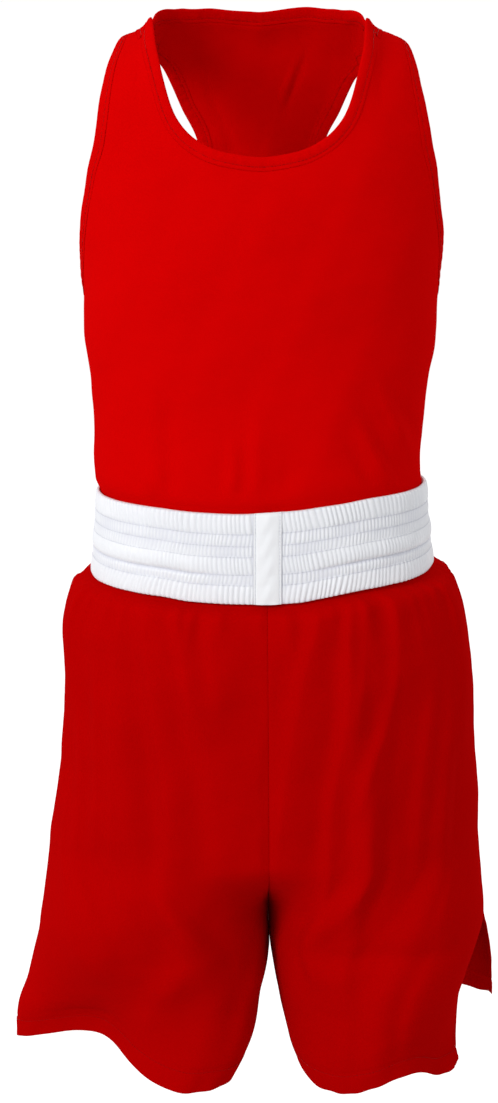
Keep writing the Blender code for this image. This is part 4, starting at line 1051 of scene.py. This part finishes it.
def shorts_form(side, face):
    """The plain form of one panel, from the side seam (across 0) to the centre seam (1)."""
    leg = LEG[side]
    edge_x, edge_y, stand_out = ("front_x", "front_y", "front") if face < 0 else ("back_x", "back_y", "back")

    def form(across, level):
        across, level = np.broadcast_arrays(np.asarray(across, float), np.asarray(level, float))
        flare = np.clip((SHORTS_FROM - level) / SHORTS_FLARE, 0, 1)[..., None]
        held = np.stack(band_inside(level, SEAM), -1)
        loose = np.stack([curve(SHORTS["level"], SHORTS[name], level) for name in
                          ("left", "right", "front", "back")], -1)
        left, right, front, back = np.moveaxis(held + flare * (loose - held), -1, 0)
        split = curve(SPLIT_X["level"], SPLIT_X["x"], level)
        middle = quarter_at(split, left, right)
        quarter = side + (middle - side) * across
        x, y = ring(quarter if face < 0 else 2 * side - quarter, left, right, front, back)
        body = np.stack([x, y, lean(level, x, y)], -1)

        edge, edge_at, inner, depth = (curve(leg["level"], leg[name], level)
                                       for name in (edge_x, edge_y, "inner_x", stand_out))
        turn = across * math.pi
        shared = (1 - np.cos(turn)) / 2
        x = edge + (inner - edge) * shared
        y = edge_at + (CROTCH_Y - edge_at) * shared
        inseam = curve(HANG["level"], HANG["inseam_square"], level)
        square = SQUARE + ramp(INSEAM_FROM, INSEAM_TO, across) * (inseam - SQUARE)
        turn = math.pi * across ** curve(HANG["level"], HANG["front_skew" if face < 0 else "back_skew"], level)
        y = y + face * depth * np.sin(turn) * (1 + square * np.cos(turn) ** 2)
        turned = ramp(LEG_FROM, CROTCH, level)
        point = body + turned[..., None] * (np.stack([x, y, level], -1) - body)
        point[..., 1] *= 1 + LEG_FILL * 4 * turned * (1 - turned) * np.sin(across * math.pi)
        return point

    return form


def shorts_swell(side, face, across, level):
    """How far a panel stands out from its form, and how far its hem is lifted."""
    out = lift = 0 * across * level
    for swell in rows_of(SHORTS_SWELLS):
        if (swell["side"], swell["face"]) == (side, face):
            down = (swell["top"] - level) / (swell["top"] - swell["foot"])
            place = swell["across"] + (swell["foot_across"] - swell["across"]) * down
            fade = np.sin(np.clip(down, 0, 1) * math.pi) ** 0.7
            out = out + swell["rise"] * fade * crest(across, place, swell["half_width"])
    for crease_side, crease_face, rise, to_side, to_centre, places in CREASES:
        if (crease_side, crease_face) == (side, face):
            stations = np.array(places)
            if len(stations) < 3:
                stations = np.insert(stations, 1, stations.mean(0), axis=0)
            away = (across - curve(stations[:, 1], stations[:, 0], level)) * PANEL_WIDTH
            shape = np.exp(-(away / np.where(away < 0, to_side, to_centre)) ** 2)
            start, end = stations[0, 1], stations[-1, 1]
            fade = ramp(end - CREASE_REACH, end + CREASE_REACH, level)
            out = out + rise * shape * fade * ramp(start + CREASE_REACH, start - CREASE_REACH, level)
    chance = np.random.default_rng(100 + 10 * side + face)
    for i in range(GATHERS):
        place = (i + 0.5 + chance.uniform(-GATHER_STRAY, GATHER_STRAY)) / GATHERS
        height, length, half, slant = chance.uniform(GATHER_LEAST, GATHER_MOST)
        down = np.clip((SHORTS_FROM - level) / (length * GATHER_LENGTH), 0, 1)
        away = (across - place - slant * (SHORTS_FROM - level)) * PANEL_WIDTH / (half * GATHER_HALF)
        out = out + height * GATHER_HEIGHT * np.exp(-away**2) * (1 - down) ** 1.5
    for wave in rows_of(HEM_WAVES):
        if (wave["side"], wave["face"]) == (side, face):
            shape = ramp(wave["top"], SHORTS_LOW, level) * crest(across, wave["across"], wave["half_width"])
            out, lift = out + wave["rise"] * shape, lift + wave["lift"] * shape
    if (side, face) == (1, -1):
        corner = np.interp(across, SLIT_CORNER["across"], SLIT_CORNER["lift"])
        lift = lift + corner * ramp(SLIT_CORNER_FROM, SHORTS_LOW, level)
    return out, lift


def groove(away, half_width, depth):
    """How far cloth sinks at a distance from the middle of a groove."""
    return -depth * np.exp(-(away / half_width) ** 2)


def on_shorts(side, face, across, level):
    """Points on one panel with all its folds, seams and hems, and the outward direction there."""
    form = shorts_form(side, face)
    across, level = np.broadcast_arrays(np.asarray(across, float), np.asarray(level, float))
    places = form(across, level)
    edge = 1e-4  # keeps the slopes inside the panel
    out = slopes(form, np.clip(across, edge, 1 - edge), level)[2] * side * face
    rise, lift = shorts_swell(side, face, across, level)
    rise = rise + SHORTS_CRUMPLE * crumpled(places)
    free = ramp(FOLDS_FROM, FOLDS_FREE, level)
    open_side = ramp(SLIT_TOP + SLIT_OPENS, SLIT_TOP - SLIT_OPENS, level) if side > 0 else 0 * level
    rise = rise * free * np.maximum(ramp(0, SIDE_HELD, across), open_side) * ramp(1, CENTRE_HELD, across)
    over_hem = level - SHORTS_LOW
    rise = rise + groove(over_hem - HEM, *HEM_GROOVE) + HEM_THICKER * ramp(HEM + 0.001, HEM - 0.002, over_hem)
    rise = rise + HEM_RIPPLE * ramp(HEM, 0, over_hem) * np.sin(across * 46 + 5 * np.sin(across * 9 + side))
    from_side, from_centre = across * PANEL_WIDTH, (1 - across) * PANEL_WIDTH
    rise = rise + open_side * (groove(from_side - SLIT_HEM, *SLIT_GROOVE)
                               + SLIT_THICKER * ramp(SLIT_HEM + 0.001, SLIT_HEM - 0.001, from_side))
    rise = rise + (1 - open_side) * groove(from_side, *SIDE_GROOVE)
    rise = rise + groove(from_centre, *CENTRE_GROOVE) * ramp(CROTCH, LEG_FROM, level)
    points = places + out * rise[..., None]
    points[..., 2] += lift
    return points, out


shorts_weave = knit_red("shorts weave", SHORTS_RED, SHORTS_SHADE_RED, wale=0.0007, depth=0.00003, gloss=0.52)
across = np.linspace(0, 1, SHORTS_COLUMNS + 1)
levels = np.concatenate([np.linspace(SHORTS_TOP, HELD_ROWS_LOW, 12)[:-1],
                         np.linspace(HELD_ROWS_LOW, HEM_ROWS_TOP, 148)[:-1],
                         np.linspace(HEM_ROWS_TOP, SHORTS_LOW, 17)])
for side, side_name in ((1, "left"), (-1, "right")):
    for face, face_name, flat_area in ((-1, "front", 0.141), (1, "back", 0.145)):
        points, outward = on_shorts(side, face, across[:, None], levels)
        flat = np.stack(np.meshgrid(across * PANEL_WIDTH, levels, indexing="ij"), -1)
        panel = cloth_panel(f"shorts_{face_name}_{side_name}_cloth", points, outward, flat, shorts_weave, SHORTS_WALL)
        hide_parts(f"shorts_{face_name}_{side_name}")
        row = np.linspace(*HEM_THREAD_ENDS, HEM_THREAD_PLACES)
        rows = [on_shorts(side, face, row, SHORTS_LOW + HEM_THREAD)]
        if side > 0:
            up = np.linspace(SHORTS_LOW + HEM_THREAD + SLIT_THREAD_FROM, SLIT_TOP, SLIT_THREAD_PLACES)
            rows.append(on_shorts(side, face, SLIT_HEM / PANEL_WIDTH, up))
        stitching = sewn(f"shorts_{face_name}_{side_name}_stitching", red_thread,
                         *[(places + out * SHORTS_THREAD_OVER, out) for places, out in rows])

# Studio: a pale floor far under the suit, which hangs as if worn, white light from all round and most from behind, a
# big soft key light from the wearer's right and a weak fill. The camera is at chest height and looks slightly down.

FLOOR_LEVEL, FLOOR_HALF = -1.50, 12
FLOOR_GREY, FLOOR_SHADE = (0.62, 0.62, 0.62, 1), (0.60, 0.60, 0.60, 1)
GLOW, GLOW_FROM, GLOW_FULL = 0.66, 0.2, 0.85  # behind the suit the floor glows, to come out pure white
NO_GLOW, WHITE_GLOW = (0, 0, 0, 1), (1, 1, 1, 1)
BACK_LIGHT, FRONT_LIGHT = (1.02, 1.02, 1.02, 1), (0.58, 0.58, 0.59, 1)
TURN_FROM, TURN_FULL = -0.2, 0.35  # the front light gives way to the back light between these
LIT_MIDDLE = Vector((0, 0, -0.5))
LIGHTS = (  # place, size and power
    ("key", (-1.6, -1.6, 0.5), 1.0, 30.0),
    ("fill", (0.6, -1.8, 0.3), 1.2, 6.0),
)
CAMERA_AT, CAMERA_TILT = (-0.010, -1.31, -0.255), math.radians(9.95)
FOCAL_ROWS, FRAME_ROWS = 1411, 1103  # the focal length and the frame's height, in rows of the picture
SENSOR = 36

work = bmesh.new()
bmesh.ops.create_grid(work, x_segments=4, y_segments=4, size=FLOOR_HALF)
for point in work.verts:
    point.co.z = FLOOR_LEVEL
floor_finish, start = new_finish("floor")
place = start.node("TexCoord", output=3)
grain = place.noise(30.0, 4.0)
behind = start.node("SeparateXYZ", (), {0: place}, output=1)
lit = behind.eased(GLOW_FROM, GLOW_FULL)
coloured(start, grain.mixed(FLOOR_GREY, FLOOR_SHADE), 0.9 + grain * 0.05, grain * 0.0001,
         Specular_IOR_Level=0.0, Emission_Strength=GLOW, Emission_Color=lit.mixed(NO_GLOW, WHITE_GLOW))
floor = in_scene("floor", work, floor_finish)

world = bpy.data.worlds.new("studio")
world.use_nodes = True
start = Dye(world.node_tree)
towards = start.node("SeparateXYZ", (), {0: start.node("TexCoord")}, output=1)
colour = towards.eased(TURN_FROM, TURN_FULL).mixed(FRONT_LIGHT, BACK_LIGHT)
world.node_tree.links.new(colour.socket, world.node_tree.nodes["Background"].inputs["Color"])
bpy.context.scene.world = world
for name, place, size, power in LIGHTS:
    light = bpy.data.lights.new(name, "AREA")
    light.shape, light.size, light.energy = "DISK", size, power
    lamp = bpy.data.objects.new(name, light)
    lamp.location = place
    lamp.rotation_euler = (LIT_MIDDLE - Vector(place)).to_track_quat("-Z", "Y").to_euler()
    bpy.context.scene.collection.objects.link(lamp)

view = bpy.data.cameras.new("camera")
view.sensor_fit, view.sensor_height = "VERTICAL", SENSOR
view.lens = FOCAL_ROWS / FRAME_ROWS * SENSOR
camera = bpy.data.objects.new("camera", view)
camera.location, camera.rotation_euler = CAMERA_AT, (math.pi / 2 - CAMERA_TILT, 0, 0)
bpy.context.scene.collection.objects.link(camera)
bpy.context.scene.camera = camera
bpy.context.scene.view_settings.view_transform = "Standard"
